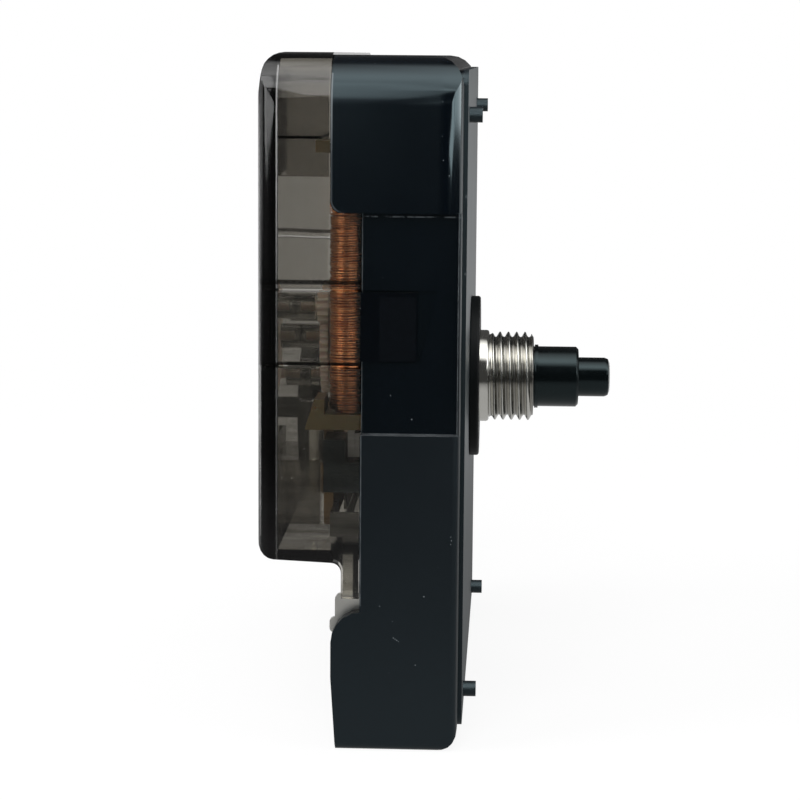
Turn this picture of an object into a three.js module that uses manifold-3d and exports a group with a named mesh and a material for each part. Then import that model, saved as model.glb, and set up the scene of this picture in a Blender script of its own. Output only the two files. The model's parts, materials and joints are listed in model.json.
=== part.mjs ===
// Quartz clock movement: a black front housing with a threaded bushing for the dial, a smoked
// rear cover on snap arms, a stepping motor, its going train, the motion work of the hands,
// the setting knob and a bay for one AA cell.
// Millimetres. Working frame: +X points out of the dial side along the hand shafts, +Y away
// from the coil side, +Z up. Its origin is on the mounting face at mid height. The exported
// group moves it so that the body stands on z = 0 with its length centred on x = 0.

import * as THREE from "three";
import { mergeVertices } from "three/addons/utils/BufferGeometryUtils.js";
import Module from "manifold-3d";

const wasm = await Module();
wasm.setup();

// Body: depths are measured backwards from the mounting face
const bodyWidth = 56;
const bodyHeight = 56;
const bodyDepth = 16.55;
const coverTopStep = 0.2; // the cover's top over the housing's
const shaftDrop = 0.94; // hand shafts below mid height
const topCornerRadius = 4;
const bottomCornerRadius = 0.7;
const frontTopRadius = 2.4;
const frontBottomRadius = 1.8;
const backTopRadius = 1.6;
const backSlopeHeight = 3.6; // the back leans inwards over this height
const backSlopeDepth = 0.55;
const backSlopeRadius = 3;
const frontSideRadius = 0.6;
const upperSideRadius = 1.3; // the front edges of the side above the recess
const backSideRadius = 1.4;
const plateauHeight = 0.35;
const plateauSideInset = 2;
const plateauTopInset = 1.3;
const plateauBottomInset = 1.5;
const plateauRadius = 1.2;
const overrun = 1; // how far a cutting solid runs past what it cuts
const arcSteps = 5; // steps of a rounded corner

// Front housing
const housingWall = 1.4;
const housingTopWall = 1.2;
const housingBottomWall = 0.8;
const housingFloor = 1.25;
const upperPanelDepth = 10.7;
const upperPanelHeight = 12.5;
const upperPanelRadius = 0.8;
const sidePanelDepth = 8.27;
const recessHeight = 17.63;
const recessDepth = 0.7;
const recessLip = 0.6;
const innerCornerRadius = 2.6;
const bayHeight = 15.3; // from the bottom to the underside of the wall over the battery bay
const partitionWall = 0.9;
const bayWallDepth = 10.6;
const bayWallFootDepth = 10.2;
const bayWallHeight = 11.45;
const bayWallRadius = 2.5;
const bayWallBelly = 6; // rounding of the bay wall's belly
const pegRadius = 0.65;
const pegLength = 1.05;
const pegInset = 8.5; // from the sides
const pegRise = 24;
const pegSides = 14;
const postRadius = 1.6;
const postPinRadius = 0.7;
const postSides = 14;
const pivotBossRadius = 1.1;
const ledgeTop = -5;

// Rear cover
const coverWall = 1;
const coverBack = 1.65;
const coverBottomWall = 0.9;
const coverSeam = 0.05; // gap between cover and housing
const coverFootRise = 0.14; // over the underside of the housing's partition
const coverFootSlope = 0.3; // how much higher the foot is at the back
const coverFootRadius = 1.4;
const neckWidth = 1.5;
const neckGap = 1.11; // between the neck and the bay's end wall
const neckRadius = 0.8;
const slotTop = 9.5;
const slotBottom = 3.2;
const slotWidth = 0.22;
const slotStartDepth = 16.15;
const armTop = 9.26;
const armBottom = 3.75;
const armDepth = 3.84;
const armRampDepth = 6.53;
const armThickness = 0.75;
const armTipThickness = 0.35;
const armInset = 0.05;
const pocketTopDepth = 2.26;
const pocketFootDepth = 3.56;
const pocketClearance = 0.12;
const barbDepth = 5.3;
const barbLength = 0.8;
const barbHeight = 0.45;
const barbInset = 1;
const ribThickness = 0.5;
const topRibThickness = 0.22;
const ribReach = 3.4;
const topRibHeight = 21.25;
const ribLength = 9;
const screenY = -19.5;
const upperScreenFoot = 17.9;
const lowerScreen = [-11, -5.6];
const lowerScreenReach = 2.8;
const screenBite = 0.3; // how far a screen runs into the walls that carry it

// Gear train: teeth, modules and the places of the axes round the hand shafts
const trainModule = 0.2;
const rotorTeeth = 12;
const intermediateTeeth = 48;
const pinionTeeth = 8;
const secondsTeeth = 60;
const thirdTeeth = 60;
const minuteTeeth = 64;
const motionModule = 0.25;
const cannonTeeth = 12;
const minuteWorkTeeth = 36;
const minuteWorkPinionTeeth = 10;
const hourTeeth = 40;
const knobTeeth = 16;
const addendumShare = 0.85;
const dedendumShare = 1.15;
const tipShare = 0.2; // tooth widths as shares of the pitch
const rootShare = 0.56;
const intermediateAngle = THREE.MathUtils.degToRad(143);
const rotorAngle = THREE.MathUtils.degToRad(148);
const thirdAngle = THREE.MathUtils.degToRad(53);
const minuteWorkAngle = THREE.MathUtils.degToRad(-60);
const knobAngle = THREE.MathUtils.degToRad(6);

// Depths of the wheels, from the mounting face to the front of each wheel
const wheelThickness = 0.7;
const pinionOverlap = 0.12; // how far a pinion runs past the wheel that it drives
const intermediateDepth = 12.2;
const secondsDepth = 10.7;
const thirdDepth = 9.2;
const minuteDepth = 5.9;
const minuteWorkDepth = 4.15;
const hourDepth = 2.4;
const hourThickness = 0.9;
const arborRadius = 0.5;
const pivotRadius = 0.4;
const pivotClearance = 0.06;
const pivotDepth = 1.2;
const pivotEndPlay = 0.2;
const bossLength = 1.7;
const arborSides = 12;
const boreSides = 16;
const thirdPassRadius = 1.15;

// Hand shafts and bushing
const shaftSides = 28;
const threadSides = 24;
const hourRadius = 2.73;
const hourClearance = 0.09; // between the minute shaft and the hour tube
const hourLength = 9.73;
const hourCollarStep = 0.15;
const hourCollarFrom = 5.78;
const hourCollarTo = 6.1;
const tipChamfer = 0.22;
const minuteRadius = 1.77;
const minuteLength = 12.55;
const minuteTipRadius = 0.45;
const minuteStubRadius = 1.2;
const minuteShoulderDepth = 3.8;
const cannonDepth = 5;
const spindleClearance = 0.07;
const minuteBoreEnd = 5.2;
const spindleRadius = 0.55;
const spindleEnd = 5;
const minuteWheelClearance = 0.07;
const clutchRadius = 2.6;
const clutchThickness = 0.2;
const clutchRise = 0.3;
const threadRadius = 4;
const threadDepth = 0.46;
const threadPitch = 0.75;
const threadStart = 1.7;
const bushingLength = 5.68;
const bushingClearance = 0.1; // between the hour tube and the bushing
const bushingShoulderStep = 0.14;
const bushingShoulderRound = 0.25;
const bushingNeckClearance = 0.05;
const bushingFlangeStep = 1;
const bushingFlangeThickness = 0.45;
const threadChamfer = 0.5;
const crestShare = 0.18; // flat of the thread's crest as a share of its pitch
const rootFlatShare = 0.22;
const washerRadius = 7.25;
const washerClearance = 0.16;
const washerThickness = 0.83;
const washerEdge = 0.12;

// Middle plate
const plateThickness = 0.85;
const plateDepth = 8.25; // to its back face, where the stator lies
const plateNearGap = 0.85; // from the spool's flange
const plateFarInset = 5.6; // from the housing's far wall
const plateTop = 21;
const plateBottom = -11;
const plateRadius = 3;
const plateClearance = 0.08;
const rotorPocketRadius = 3;
const rotorPocketDepth = 0.3;
const postInset = 3.1; // from the plate's edges
const postHigh = 18;
const postLow = -9;

// Motor
const statorThickness = 0.6;
const statorBore = 3;
const statorGap = 0.6;
const poleReach = 4.24;
const magnetRadius = 2.6;
const magnetClearance = 0.05;
const magnetBack = 9.65;
const magnetFront = 8.3;
const magnetSeat = 1;
const coilDepth = 9.15;
const coilWallGap = 0.31; // between the winding and the housing's side wall
const coilTop = 20.15;
const coilBottom = -0.73;
const coilRadius = 1.94;
const wireRadius = 0.2;
const wireLoops = 23;
const wireSteps = 12;
const wireSides = 5;
const bendSteps = 3;
const wireEndBend = 0.42;
const wireEndGap = 0.08;
const wireLeastGap = 0.4;
const underlayGap = 0.12; // between the outer layer of wire and the sleeve under it
const underlayClearance = 0.07;
const underlayEndGap = 0.05;
const spoolRadius = 1.05;
const coreThickness = 0.6;
const coreWidth = 1.6;
const coreTop = 23.3;
const coreBottom = -4.3;
const coreClearance = 0.06;
const flangeWallGap = 0.35;
const flangeWidth = 4.1;
const flangeFront = 6.9;
const upperFlangeBack = 12;
const upperFlangeTop = 21.1;
const lowerFlangeBack = 12.84;
const lowerFlangeFoot = -1.97;
const terminalTop = 0.5;
const terminalBack = 12.05;
const terminalFront = 11.25;

// Block under the coil, circuit and battery contacts
const blockBack = 11.3;
const blockTop = -2.72;
const blockFoot = -7;
const blockFront = 7.5;
const blockStep = -4.5;
const blockWidth = 4.1;
const blockClearance = 0.1;
const boardBack = 11.6;
const boardThickness = 0.8;
const boardFlangeGap = 0.35; // from the spool's flange
const boardPastRotor = 1; // how far the board runs past the rotor's axis
const boardTop = -1;
const boardRise = 1.1; // over the partition
const boardRadius = 0.8;
const standoffRadius = 0.8;
const standoffInset = 1.5;
const standoffZ = -6.2;
const chipRadius = 2.1;
const chipHeight = 0.8;
const chipInset = 4.2; // from the board's near edge
const chipZ = -4.4;
const crystalRadius = 1;
const crystalLength = 6;
const crystalInset = 2.6; // from the board's far edge
const crystalRise = 1.1; // over the board's lower edge
const crystalStep = 0.12;
const crystalGap = 0.02;
const leadRadius = 0.16;
const leadSpread = 0.4;
const leadBend = 0.5;
const leadFall = 0.55;
const contactThickness = 0.3;
const contactGap = 0.05;
const contactBack = 10.35;
const contactFront = 3.6;
const contactTopHeight = 12.7; // heights over the bottom of the body
const contactFootHeight = 1.8;
const contactRadius = 1.1;
const lugBack = 10.78;
const lugTopHeight = 10.7;
const lugFootHeight = 9.4;
const lugRadius = 0.4;
const strapFront = 8.45;
const strapBack = 9.7;
const strapTopRise = 3.2; // rises over the partition
const tongueFootRise = 1.2;
const tongueOverlap = 0.9; // how far the tongue runs behind the board
const buttonRadius = 1.8;
const buttonHeight = 0.6;
const railTopRise = 1.9;
const railFootRise = 0.4;
const railOverlap = 1.1;
const springWidth = 3.4;
const springReach = 0.8;
const springFootHeight = 3;
const springKneeHeight = 7.2;
const springTopHeight = 9.8;

// Setting knob and minute work arbor
const knobRadius = 5;
const knobGap = 0.35;
const knobThickness = 1.6;
const knobRecess = 0.15;
const knobFlutes = 24;
const fluteShare = 0.06; // flute depth as a share of the knob's radius
const knobSlotWidth = 1;
const knobSlotDepth = 0.6;
const wellWall = 0.8;
const wellDepth = 2.7;
const stemRadius = 1;
const stemClearance = 0.09;
const knobBossLength = 2;
const workPinRadius = 0.5;
const workPinClearance = 0.06;
const workHubRadius = 0.85;
const workPinEnd = 5.55;
const workPinSeat = 0.6;

// Battery cell that the bay takes
const cellRadius = 7.1;

// Places that follow from the sizes above
const halfWidth = bodyWidth / 2;
const top = bodyHeight / 2;
const bottom = -bodyHeight / 2;
const housingTop = top - coverTopStep;
const frontX = -plateauHeight;
const backX = -bodyDepth;
const floorX = frontX - housingFloor;
const floorMiddle = frontX - housingFloor / 2; // what stands on the floor starts inside it
const housingInnerY = halfWidth - housingWall;
const housingMiddleY = halfWidth - housingWall / 2;
const coverInnerX = backX + coverBack;
const coverInnerY = halfWidth - coverWall;
const recessTop = top - upperPanelHeight;
const recessBottom = recessTop - recessHeight;
const shaft = new THREE.Vector2(0, -shaftDrop);
const partitionFoot = bottom + bayHeight;
const partitionTop = partitionFoot + partitionWall;
const bayWallTop = bottom + bayWallHeight;
const coverFootFront = partitionFoot + coverFootRise;
const coverFootBack = coverFootFront + coverFootSlope;
const neckFoot = bayWallTop + neckGap;
const contactTop = bottom + contactTopHeight;
const strapTop = partitionTop + strapTopRise;
const hourBore = minuteRadius + hourClearance;
const minuteBore = spindleRadius + spindleClearance;
const minuteWheelBore = minuteStubRadius + minuteWheelClearance;
const bushingBore = hourRadius + bushingClearance;
const bushingNeckRadius = threadRadius;
const bushingShoulderRadius = threadRadius + bushingShoulderStep;
const coilY = -housingInnerY + coilWallGap + coilRadius;
const flangeNear = -housingInnerY + flangeWallGap;
const flangeFar = flangeNear + flangeWidth;
const blockFar = -housingInnerY + blockClearance + blockWidth;
const plateNear = flangeFar + plateNearGap;
const plateFar = housingInnerY - plateFarInset;
const postNear = plateNear + postInset;
const postFar = plateFar - postInset;
const workPinBore = workPinRadius + workPinClearance;

// Centre of a wheel that meshes with another at an angle from it, both in the Y-Z plane.
function beside(centre, angle, distance) {
  return new THREE.Vector2(Math.cos(angle), Math.sin(angle)).multiplyScalar(distance).add(centre);
}

const trainDistance = ((secondsTeeth + pinionTeeth) / 2) * trainModule;
const minuteModule = trainDistance / ((minuteTeeth + pinionTeeth) / 2);
const rotorDistance = ((rotorTeeth + intermediateTeeth) / 2) * trainModule;
const workDistance = ((cannonTeeth + minuteWorkTeeth) / 2) * motionModule;
const hourModule = workDistance / ((hourTeeth + minuteWorkPinionTeeth) / 2);
const knobDistance = ((knobTeeth + minuteWorkTeeth) / 2) * motionModule;
const intermediateAxis = beside(shaft, intermediateAngle, trainDistance);
const rotorAxis = beside(intermediateAxis, rotorAngle, rotorDistance);
const thirdAxis = beside(shaft, thirdAngle, trainDistance);
const minuteWorkAxis = beside(shaft, minuteWorkAngle, workDistance);
const knobAxis = beside(minuteWorkAxis, knobAngle, knobDistance);
const boardNear = flangeFar + boardFlangeGap;
const boardFar = rotorAxis.x + boardPastRotor;
const boardBottom = partitionTop + boardRise;
const crystalY = boardFar - crystalInset;
const crystalFoot = boardBottom + crystalRise;

const origin = new THREE.Vector2();

// Solids

// A closed solid from a geometry, with shared corners merged and collapsed faces left out.
function solid(geometry) {
  const bare = geometry.index ? geometry.toNonIndexed() : geometry.clone();
  bare.deleteAttribute("normal");
  bare.deleteAttribute("uv");
  const merged = mergeVertices(bare);
  const faces = [];
  for (let i = 0; i < merged.index.count; i += 3) {
    const [a, b, c] = merged.index.array.slice(i, i + 3);
    if (a !== b && b !== c && c !== a) faces.push(a, b, c);
  }
  const vertProperties = merged.attributes.position.array;
  return new wasm.Manifold(new wasm.Mesh({ numProp: 3, vertProperties, triVerts: Uint32Array.from(faces) }));
}

function joined(...solids) {
  return solids.reduce((whole, piece) => whole.add(piece));
}

function cut(whole, ...tools) {
  return tools.reduce((rest, tool) => rest.subtract(tool), whole);
}

const alongX = new THREE.Matrix4().makeBasis(
  new THREE.Vector3(0, 1, 0),
  new THREE.Vector3(0, 0, 1),
  new THREE.Vector3(1, 0, 0),
);
const alongY = new THREE.Matrix4().makeBasis(
  new THREE.Vector3(1, 0, 0),
  new THREE.Vector3(0, 0, 1),
  new THREE.Vector3(0, -1, 0),
);

function extruded(shape, length) {
  return new THREE.ExtrudeGeometry(shape, { depth: length, bevelEnabled: false });
}

// An outline in (y, z) that runs between two places along X, given in either order.
function prismX(shape, from, to) {
  const geometry = extruded(shape, Math.abs(to - from)).applyMatrix4(alongX);
  return solid(geometry.translate(Math.min(from, to), 0, 0));
}

// An outline in (x, z) that runs from one y to another.
function prismY(shape, from, to) {
  return solid(extruded(shape, to - from).applyMatrix4(alongY).translate(0, to, 0));
}

// An outline in (x, y) that runs from one z to another.
function prismZ(shape, from, to) {
  return solid(extruded(shape, to - from).translate(0, 0, from));
}

function slab([x0, x1], [y0, y1], [z0, z1]) {
  const box = new THREE.BoxGeometry(x1 - x0, y1 - y0, z1 - z0);
  return solid(box.translate((x0 + x1) / 2, (y0 + y1) / 2, (z0 + z1) / 2));
}

// A closed outline through corners [u, v, radius], each rounded by its radius.
function rounded(corners) {
  const at = (i) => new THREE.Vector2(...corners[(i + corners.length) % corners.length].slice(0, 2));
  const points = [];
  corners.forEach(([, , radius], i) => {
    const here = at(i);
    if (!radius) {
      points.push(here);
      return;
    }
    const back = at(i - 1).sub(here).normalize();
    const ahead = at(i + 1).sub(here).normalize();
    const half = Math.acos(back.dot(ahead)) / 2;
    const centre = back.clone().add(ahead).normalize().multiplyScalar(radius / Math.sin(half)).add(here);
    const start = back.clone().multiplyScalar(radius / Math.tan(half)).add(here).sub(centre);
    const sweep = (Math.PI - 2 * half) * (back.cross(ahead) > 0 ? -1 : 1);
    for (let k = 0; k <= arcSteps; k++) {
      points.push(start.clone().rotateAround(origin, (sweep * k) / arcSteps).add(centre));
    }
  });
  return new THREE.Shape(points);
}

function rectangle([u0, u1], [v0, v1], radius = 0) {
  return rounded([[u0, v0, radius], [u1, v0, radius], [u1, v1, radius], [u0, v1, radius]]);
}

// A ring of points round a centre, as an outline.
function disc(centre, radius, sides, phase = 0) {
  const points = [];
  for (let i = 0; i < sides; i++) {
    const angle = phase + (i * 2 * Math.PI) / sides;
    points.push(new THREE.Vector2(Math.cos(angle), Math.sin(angle)).multiplyScalar(radius).add(centre));
  }
  return new THREE.Shape(points);
}

function rod(centre, radius, from, to, sides = arborSides) {
  return prismX(disc(centre, radius, sides), from, to);
}

// A closed profile of [x, radius] corners turned round the X axis, then moved to a centre.
function turned(profile, sides, centre = new THREE.Vector2()) {
  let area = 0;
  profile.forEach(([x, r], i) => {
    const [nextX, nextR] = profile[(i + 1) % profile.length];
    area += x * nextR - nextX * r;
  });
  const ordered = area < 0 ? profile : [...profile].reverse();
  const points = [...ordered, ordered[0]].map(([x, r]) => new THREE.Vector2(r, x));
  const ring = new THREE.LatheGeometry(points, sides);
  return solid(ring.rotateZ(-Math.PI / 2).translate(0, centre.x, centre.y));
}

// Gears

// A toothed outline round the origin, with the middle of one tooth at the angle of its phase.
function toothed(teeth, module, phase) {
  const pitchRadius = (teeth * module) / 2;
  const tip = pitchRadius + addendumShare * module;
  const root = pitchRadius - dedendumShare * module;
  const step = (2 * Math.PI) / teeth;
  const points = [];
  for (let i = 0; i < teeth; i++) {
    const middle = phase + i * step;
    const flank = [[root, -rootShare], [tip, -tipShare], [tip, tipShare], [root, rootShare]];
    for (const [radius, share] of flank) {
      const angle = middle + (share * step) / 2;
      points.push(new THREE.Vector2(Math.cos(angle), Math.sin(angle)).multiplyScalar(radius));
    }
  }
  return new THREE.Shape(points);
}

function gear(teeth, module, phase, from, to) {
  return prismX(toothed(teeth, module, phase), from, to);
}

// The phase that puts a gear in mesh with another, whose phase is known, at an angle from it.
function meshed(teeth, otherTeeth, otherPhase, angle) {
  const offset = ((otherPhase - angle) * otherTeeth) / (2 * Math.PI);
  return angle + Math.PI + ((0.5 - offset) * 2 * Math.PI) / teeth;
}

const intermediatePhase = meshed(intermediateTeeth, rotorTeeth, 0, rotorAngle + Math.PI);
const secondsPhase = meshed(secondsTeeth, pinionTeeth, 0, intermediateAngle + Math.PI);
const thirdPhase = meshed(thirdTeeth, pinionTeeth, 0, thirdAngle);
const minutePhase = meshed(minuteTeeth, pinionTeeth, 0, thirdAngle + Math.PI);
const minuteWorkPhase = meshed(minuteWorkTeeth, cannonTeeth, 0, minuteWorkAngle);
const hourPhase = meshed(hourTeeth, minuteWorkPinionTeeth, 0, minuteWorkAngle + Math.PI);
const knobPhase = meshed(knobTeeth, minuteWorkTeeth, minuteWorkPhase, knobAngle);

// A wheel of the going train on its arbor, from its back pivot to its front end.
function wheelOnArbor({ teeth, module, phase, depth, pinionModule, pinionFrom, pinionTo, frontEnd }) {
  const back = coverInnerX + bossLength - pivotDepth;
  const shoulder = coverInnerX + bossLength + pivotEndPlay;
  return joined(
    rod(origin, pivotRadius, back, shoulder),
    rod(origin, arborRadius, shoulder, frontEnd),
    gear(teeth, module, phase, -depth - wheelThickness, -depth),
    gear(pinionTeeth, pinionModule, 0, pinionFrom, pinionTo),
  );
}

// Case

// The outer form of the whole body up to a height, rounded in all three directions.
function bodyForm(front, top, sideRadius) {
  const face = rounded([
    [-halfWidth, bottom, bottomCornerRadius],
    [halfWidth, bottom, bottomCornerRadius],
    [halfWidth, top, topCornerRadius],
    [-halfWidth, top, topCornerRadius],
  ]);
  const side = rounded([
    [backX, bottom, 0],
    [front, bottom, frontBottomRadius],
    [front, top, frontTopRadius],
    [backX + backSlopeDepth, top, backTopRadius],
    [backX, top - backSlopeHeight, backSlopeRadius],
  ]);
  const plan = rounded([
    [backX, -halfWidth, backSideRadius],
    [front, -halfWidth, sideRadius],
    [front, halfWidth, sideRadius],
    [backX, halfWidth, backSideRadius],
  ]);
  return prismX(face, backX, front)
    .intersect(prismY(side, -halfWidth, halfWidth))
    .intersect(prismZ(plan, bottom, top));
}

// The same solid on the coil side and on the far side.
function bothSides(make) {
  return joined(make(-1), make(1));
}

// A slab against a side wall, between two distances from the middle plane.
function sideSlab(side, [x0, x1], [inner, outer], [z0, z1]) {
  const ys = side < 0 ? [-outer, -inner] : [inner, outer];
  return slab([x0, x1], ys, [z0, z1]);
}

// Everything above a height.
function aboveHeight(height) {
  const reach = [-halfWidth - overrun, halfWidth + overrun];
  return slab([backX - overrun, overrun], reach, [height, top + overrun]);
}

function frontHousing() {
  const outline = rounded([
    [0, top + overrun, 0],
    [-upperPanelDepth, top + overrun, 0],
    [-upperPanelDepth, recessTop, upperPanelRadius],
    [-sidePanelDepth, recessTop, 0],
    [-sidePanelDepth, bayWallTop, 0],
    [-bayWallDepth, bayWallTop, bayWallRadius],
    [-bayWallDepth, bottom + bayWallBelly, bayWallBelly],
    [-bayWallFootDepth, bottom, 0],
    [0, bottom, 0],
  ]);
  const form = joined(
    cut(bodyForm(frontX, housingTop, frontSideRadius), aboveHeight(recessTop)),
    bodyForm(frontX, housingTop, upperSideRadius).intersect(aboveHeight(recessTop)),
  );
  const shell = form.intersect(prismY(outline, -halfWidth, halfWidth));
  const hollow = prismX(
    rounded([
      [-housingInnerY, bottom + housingBottomWall, 0],
      [housingInnerY, bottom + housingBottomWall, 0],
      [housingInnerY, housingTop - housingTopWall, innerCornerRadius],
      [-housingInnerY, housingTop - housingTopWall, innerCornerRadius],
    ]),
    backX,
    floorX,
  );
  const recessOuter = halfWidth + overrun;
  const recessInner = halfWidth - recessDepth;
  const lip = frontX - (recessLip - plateauHeight);
  const recess = bothSides((side) =>
    sideSlab(side, [-bodyDepth, lip], [recessInner, recessOuter], [recessBottom, recessTop]),
  );
  const plateau = prismX(
    rounded([
      [-halfWidth + plateauSideInset, bottom + plateauBottomInset, plateauRadius],
      [halfWidth - plateauSideInset, bottom + plateauBottomInset, plateauRadius],
      [halfWidth - plateauSideInset, top - plateauTopInset, plateauRadius],
      [-halfWidth + plateauSideInset, top - plateauTopInset, plateauRadius],
    ]),
    floorX + plateauHeight,
    0,
  );
  const partition = slab(
    [-sidePanelDepth, floorMiddle],
    [-housingMiddleY, housingMiddleY],
    [partitionFoot, partitionTop],
  );
  const pieces = [shell.subtract(hollow), plateau, partition];
  for (const side of [-1, 1]) {
    for (const rise of [-1, 1]) {
      const centre = new THREE.Vector2(side * (halfWidth - pegInset), rise * pegRise).add(shaft);
      pieces.push(rod(centre, pegRadius, floorMiddle, pegLength, pegSides));
    }
  }
  for (const y of [postNear, postFar]) {
    for (const z of [postLow, postHigh]) {
      const centre = new THREE.Vector2(y, z);
      pieces.push(rod(centre, postRadius, floorMiddle, -plateDepth + plateThickness, postSides));
      pieces.push(rod(centre, postPinRadius, floorMiddle, -plateDepth, postSides));
    }
  }
  const thirdBossEnd = -minuteDepth + pivotEndPlay;
  pieces.push(rod(thirdAxis, pivotBossRadius, floorMiddle, thirdBossEnd, boreSides));
  pieces.push(rod(knobAxis, pivotBossRadius, floorMiddle, floorX - knobBossLength, boreSides));
  pieces.push(slab([-blockFront, floorMiddle], [-housingMiddleY, blockFar], [blockFoot, ledgeTop]));
  const bushingHole = bushingNeckRadius + bushingNeckClearance;
  const pivotBore = pivotRadius + pivotClearance;
  return cut(
    joined(...pieces),
    recess,
    armPockets(),
    rod(shaft, bushingHole, floorX - overrun, overrun, shaftSides),
    rod(thirdAxis, pivotBore, thirdBossEnd - overrun, thirdBossEnd + pivotDepth + pivotEndPlay, boreSides),
    rod(knobAxis, pivotBore, floorX - knobBossLength - overrun, floorX, boreSides),
    rod(minuteWorkAxis, workPinBore, floorX - overrun, floorX + workPinSeat, boreSides),
  );
}

// The pockets that the cover's snap arms lie in, each with a slot for the barb.
function armPockets() {
  const inner = halfWidth - armInset - armThickness - pocketClearance;
  const pocket = rounded([
    [-bodyDepth, armBottom - pocketClearance, 0],
    [-pocketFootDepth, armBottom - pocketClearance, 0],
    [-pocketTopDepth, armTop + pocketClearance, 0],
    [-bodyDepth, armTop + pocketClearance, 0],
  ]);
  return bothSides((side) =>
    joined(
      prismY(pocket, ...(side < 0 ? [-halfWidth - overrun, -inner] : [inner, halfWidth + overrun])),
      sideSlab(
        side,
        [-barbDepth - pocketClearance, -barbDepth + barbLength + pocketClearance],
        [housingInnerY - overrun, halfWidth],
        [armBottom + barbInset - pocketClearance, armTop - barbInset + pocketClearance],
      ),
    ),
  );
}

function snapArm(side) {
  const outer = halfWidth - armInset;
  const inner = outer - armThickness;
  const start = -sidePanelDepth - overrun;
  const arm = rounded([
    [start, -inner, 0],
    [-armDepth, -inner, 0],
    [-armDepth, -inner - armTipThickness, 0],
    [-armRampDepth, -outer, 0],
    [start, -outer, 0],
  ].map(([x, y, radius]) => [x, -side * y, radius]));
  const barb = sideSlab(
    side,
    [-barbDepth, -barbDepth + barbLength],
    [inner - barbHeight, inner],
    [armBottom + barbInset, armTop - barbInset],
  );
  return joined(prismZ(arm, armBottom, armTop), barb);
}

function rearCover() {
  const seamTop = -upperPanelDepth - coverSeam;
  const seamSide = -sidePanelDepth - coverSeam;
  const outline = rounded([
    [seamTop, top + overrun, 0],
    [backX, top + overrun, 0],
    [backX, coverFootBack, coverFootRadius],
    [-sidePanelDepth - neckWidth, coverFootFront, neckRadius],
    [-sidePanelDepth - neckWidth, neckFoot, 0],
    [seamSide, neckFoot, 0],
    [seamSide, recessTop - coverSeam, 0],
    [seamTop, recessTop - coverSeam, 0],
  ]);
  const shell = bodyForm(frontX, top, frontSideRadius).intersect(prismY(outline, -halfWidth, halfWidth));
  const room = rounded([
    [coverInnerX, coverFootFront + coverBottomWall + coverSeam, 0],
    [0, coverFootFront + coverBottomWall + coverSeam, 0],
    [0, top - coverWall, 0],
    [coverInnerX, top - coverWall, 0],
  ]);
  const inside = prismX(
    rectangle([-coverInnerY, coverInnerY], [bottom, top - coverWall], topCornerRadius - coverWall),
    coverInnerX,
    0,
  );
  const belowFoot = slab(
    [-sidePanelDepth - neckWidth, 0],
    [-coverInnerY, coverInnerY],
    [bottom, coverFootFront],
  );
  const slots = bothSides((side) =>
    joined(
      ...[slotTop - slotWidth, slotBottom].map((foot) =>
        sideSlab(
          side,
          [-slotStartDepth, 0],
          [coverInnerY - overrun, halfWidth + overrun],
          [foot, foot + slotWidth],
        ),
      ),
    ),
  );
  const shellOnly = cut(shell, prismY(room, -coverInnerY, coverInnerY).intersect(inside), belowFoot, slots);
  const wellTo = backX + wellDepth;
  const pieces = [shellOnly, snapArm(-1), snapArm(1)];
  pieces.push(rod(knobAxis, knobRadius + knobGap + wellWall, coverInnerX, wellTo, shaftSides));
  for (const axis of [shaft, thirdAxis, intermediateAxis, rotorAxis]) {
    pieces.push(rod(axis, pivotBossRadius, backX + overrun, coverInnerX + bossLength, boreSides));
  }
  const ribBack = backX + overrun;
  const ribFront = coverInnerX + ribReach;
  const ribNear = -coverInnerY - overrun / 2;
  const screenBack = coverInnerX - screenBite;
  const screenSides = [screenY, screenY + ribThickness];
  const lowerScreenFront = coverInnerX + lowerScreenReach;
  pieces.push(
    slab([ribBack, ribFront], [ribNear, ribNear + ribLength], [topRibHeight, topRibHeight + topRibThickness]),
    slab([screenBack, ribFront], screenSides, [upperScreenFoot, top - coverWall + screenBite]),
    slab([screenBack, lowerScreenFront], screenSides, lowerScreen),
  );
  const pivotBore = pivotRadius + pivotClearance;
  const bores = [shaft, thirdAxis, intermediateAxis, rotorAxis].map((axis) => {
    const mouth = coverInnerX + bossLength;
    return rod(axis, pivotBore, mouth - pivotDepth - pivotEndPlay, mouth + overrun, boreSides);
  });
  const contactWays = bothSides((side) =>
    sideSlab(
      side,
      [-contactBack - 2 * contactGap, -sidePanelDepth],
      [housingInnerY - contactThickness - 2 * contactGap, coverInnerY + contactGap],
      [bottom, coverFootFront + 2 * coverBottomWall],
    ),
  );
  return cut(
    joined(...pieces),
    rod(knobAxis, knobRadius + knobGap, backX - overrun, wellTo - wellWall, shaftSides),
    rod(knobAxis, stemRadius + stemClearance, backX, wellTo + overrun, boreSides),
    contactWays,
    ...bores,
  );
}

// Dial bushing and washer

// The thread's section over one pitch: shares of the pitch, and the radius there.
const threadSection = [
  [0, threadRadius - threadDepth],
  [rootFlatShare, threadRadius - threadDepth],
  [(1 - crestShare + rootFlatShare) / 2, threadRadius],
  [(1 + crestShare + rootFlatShare) / 2, threadRadius],
];

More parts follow.
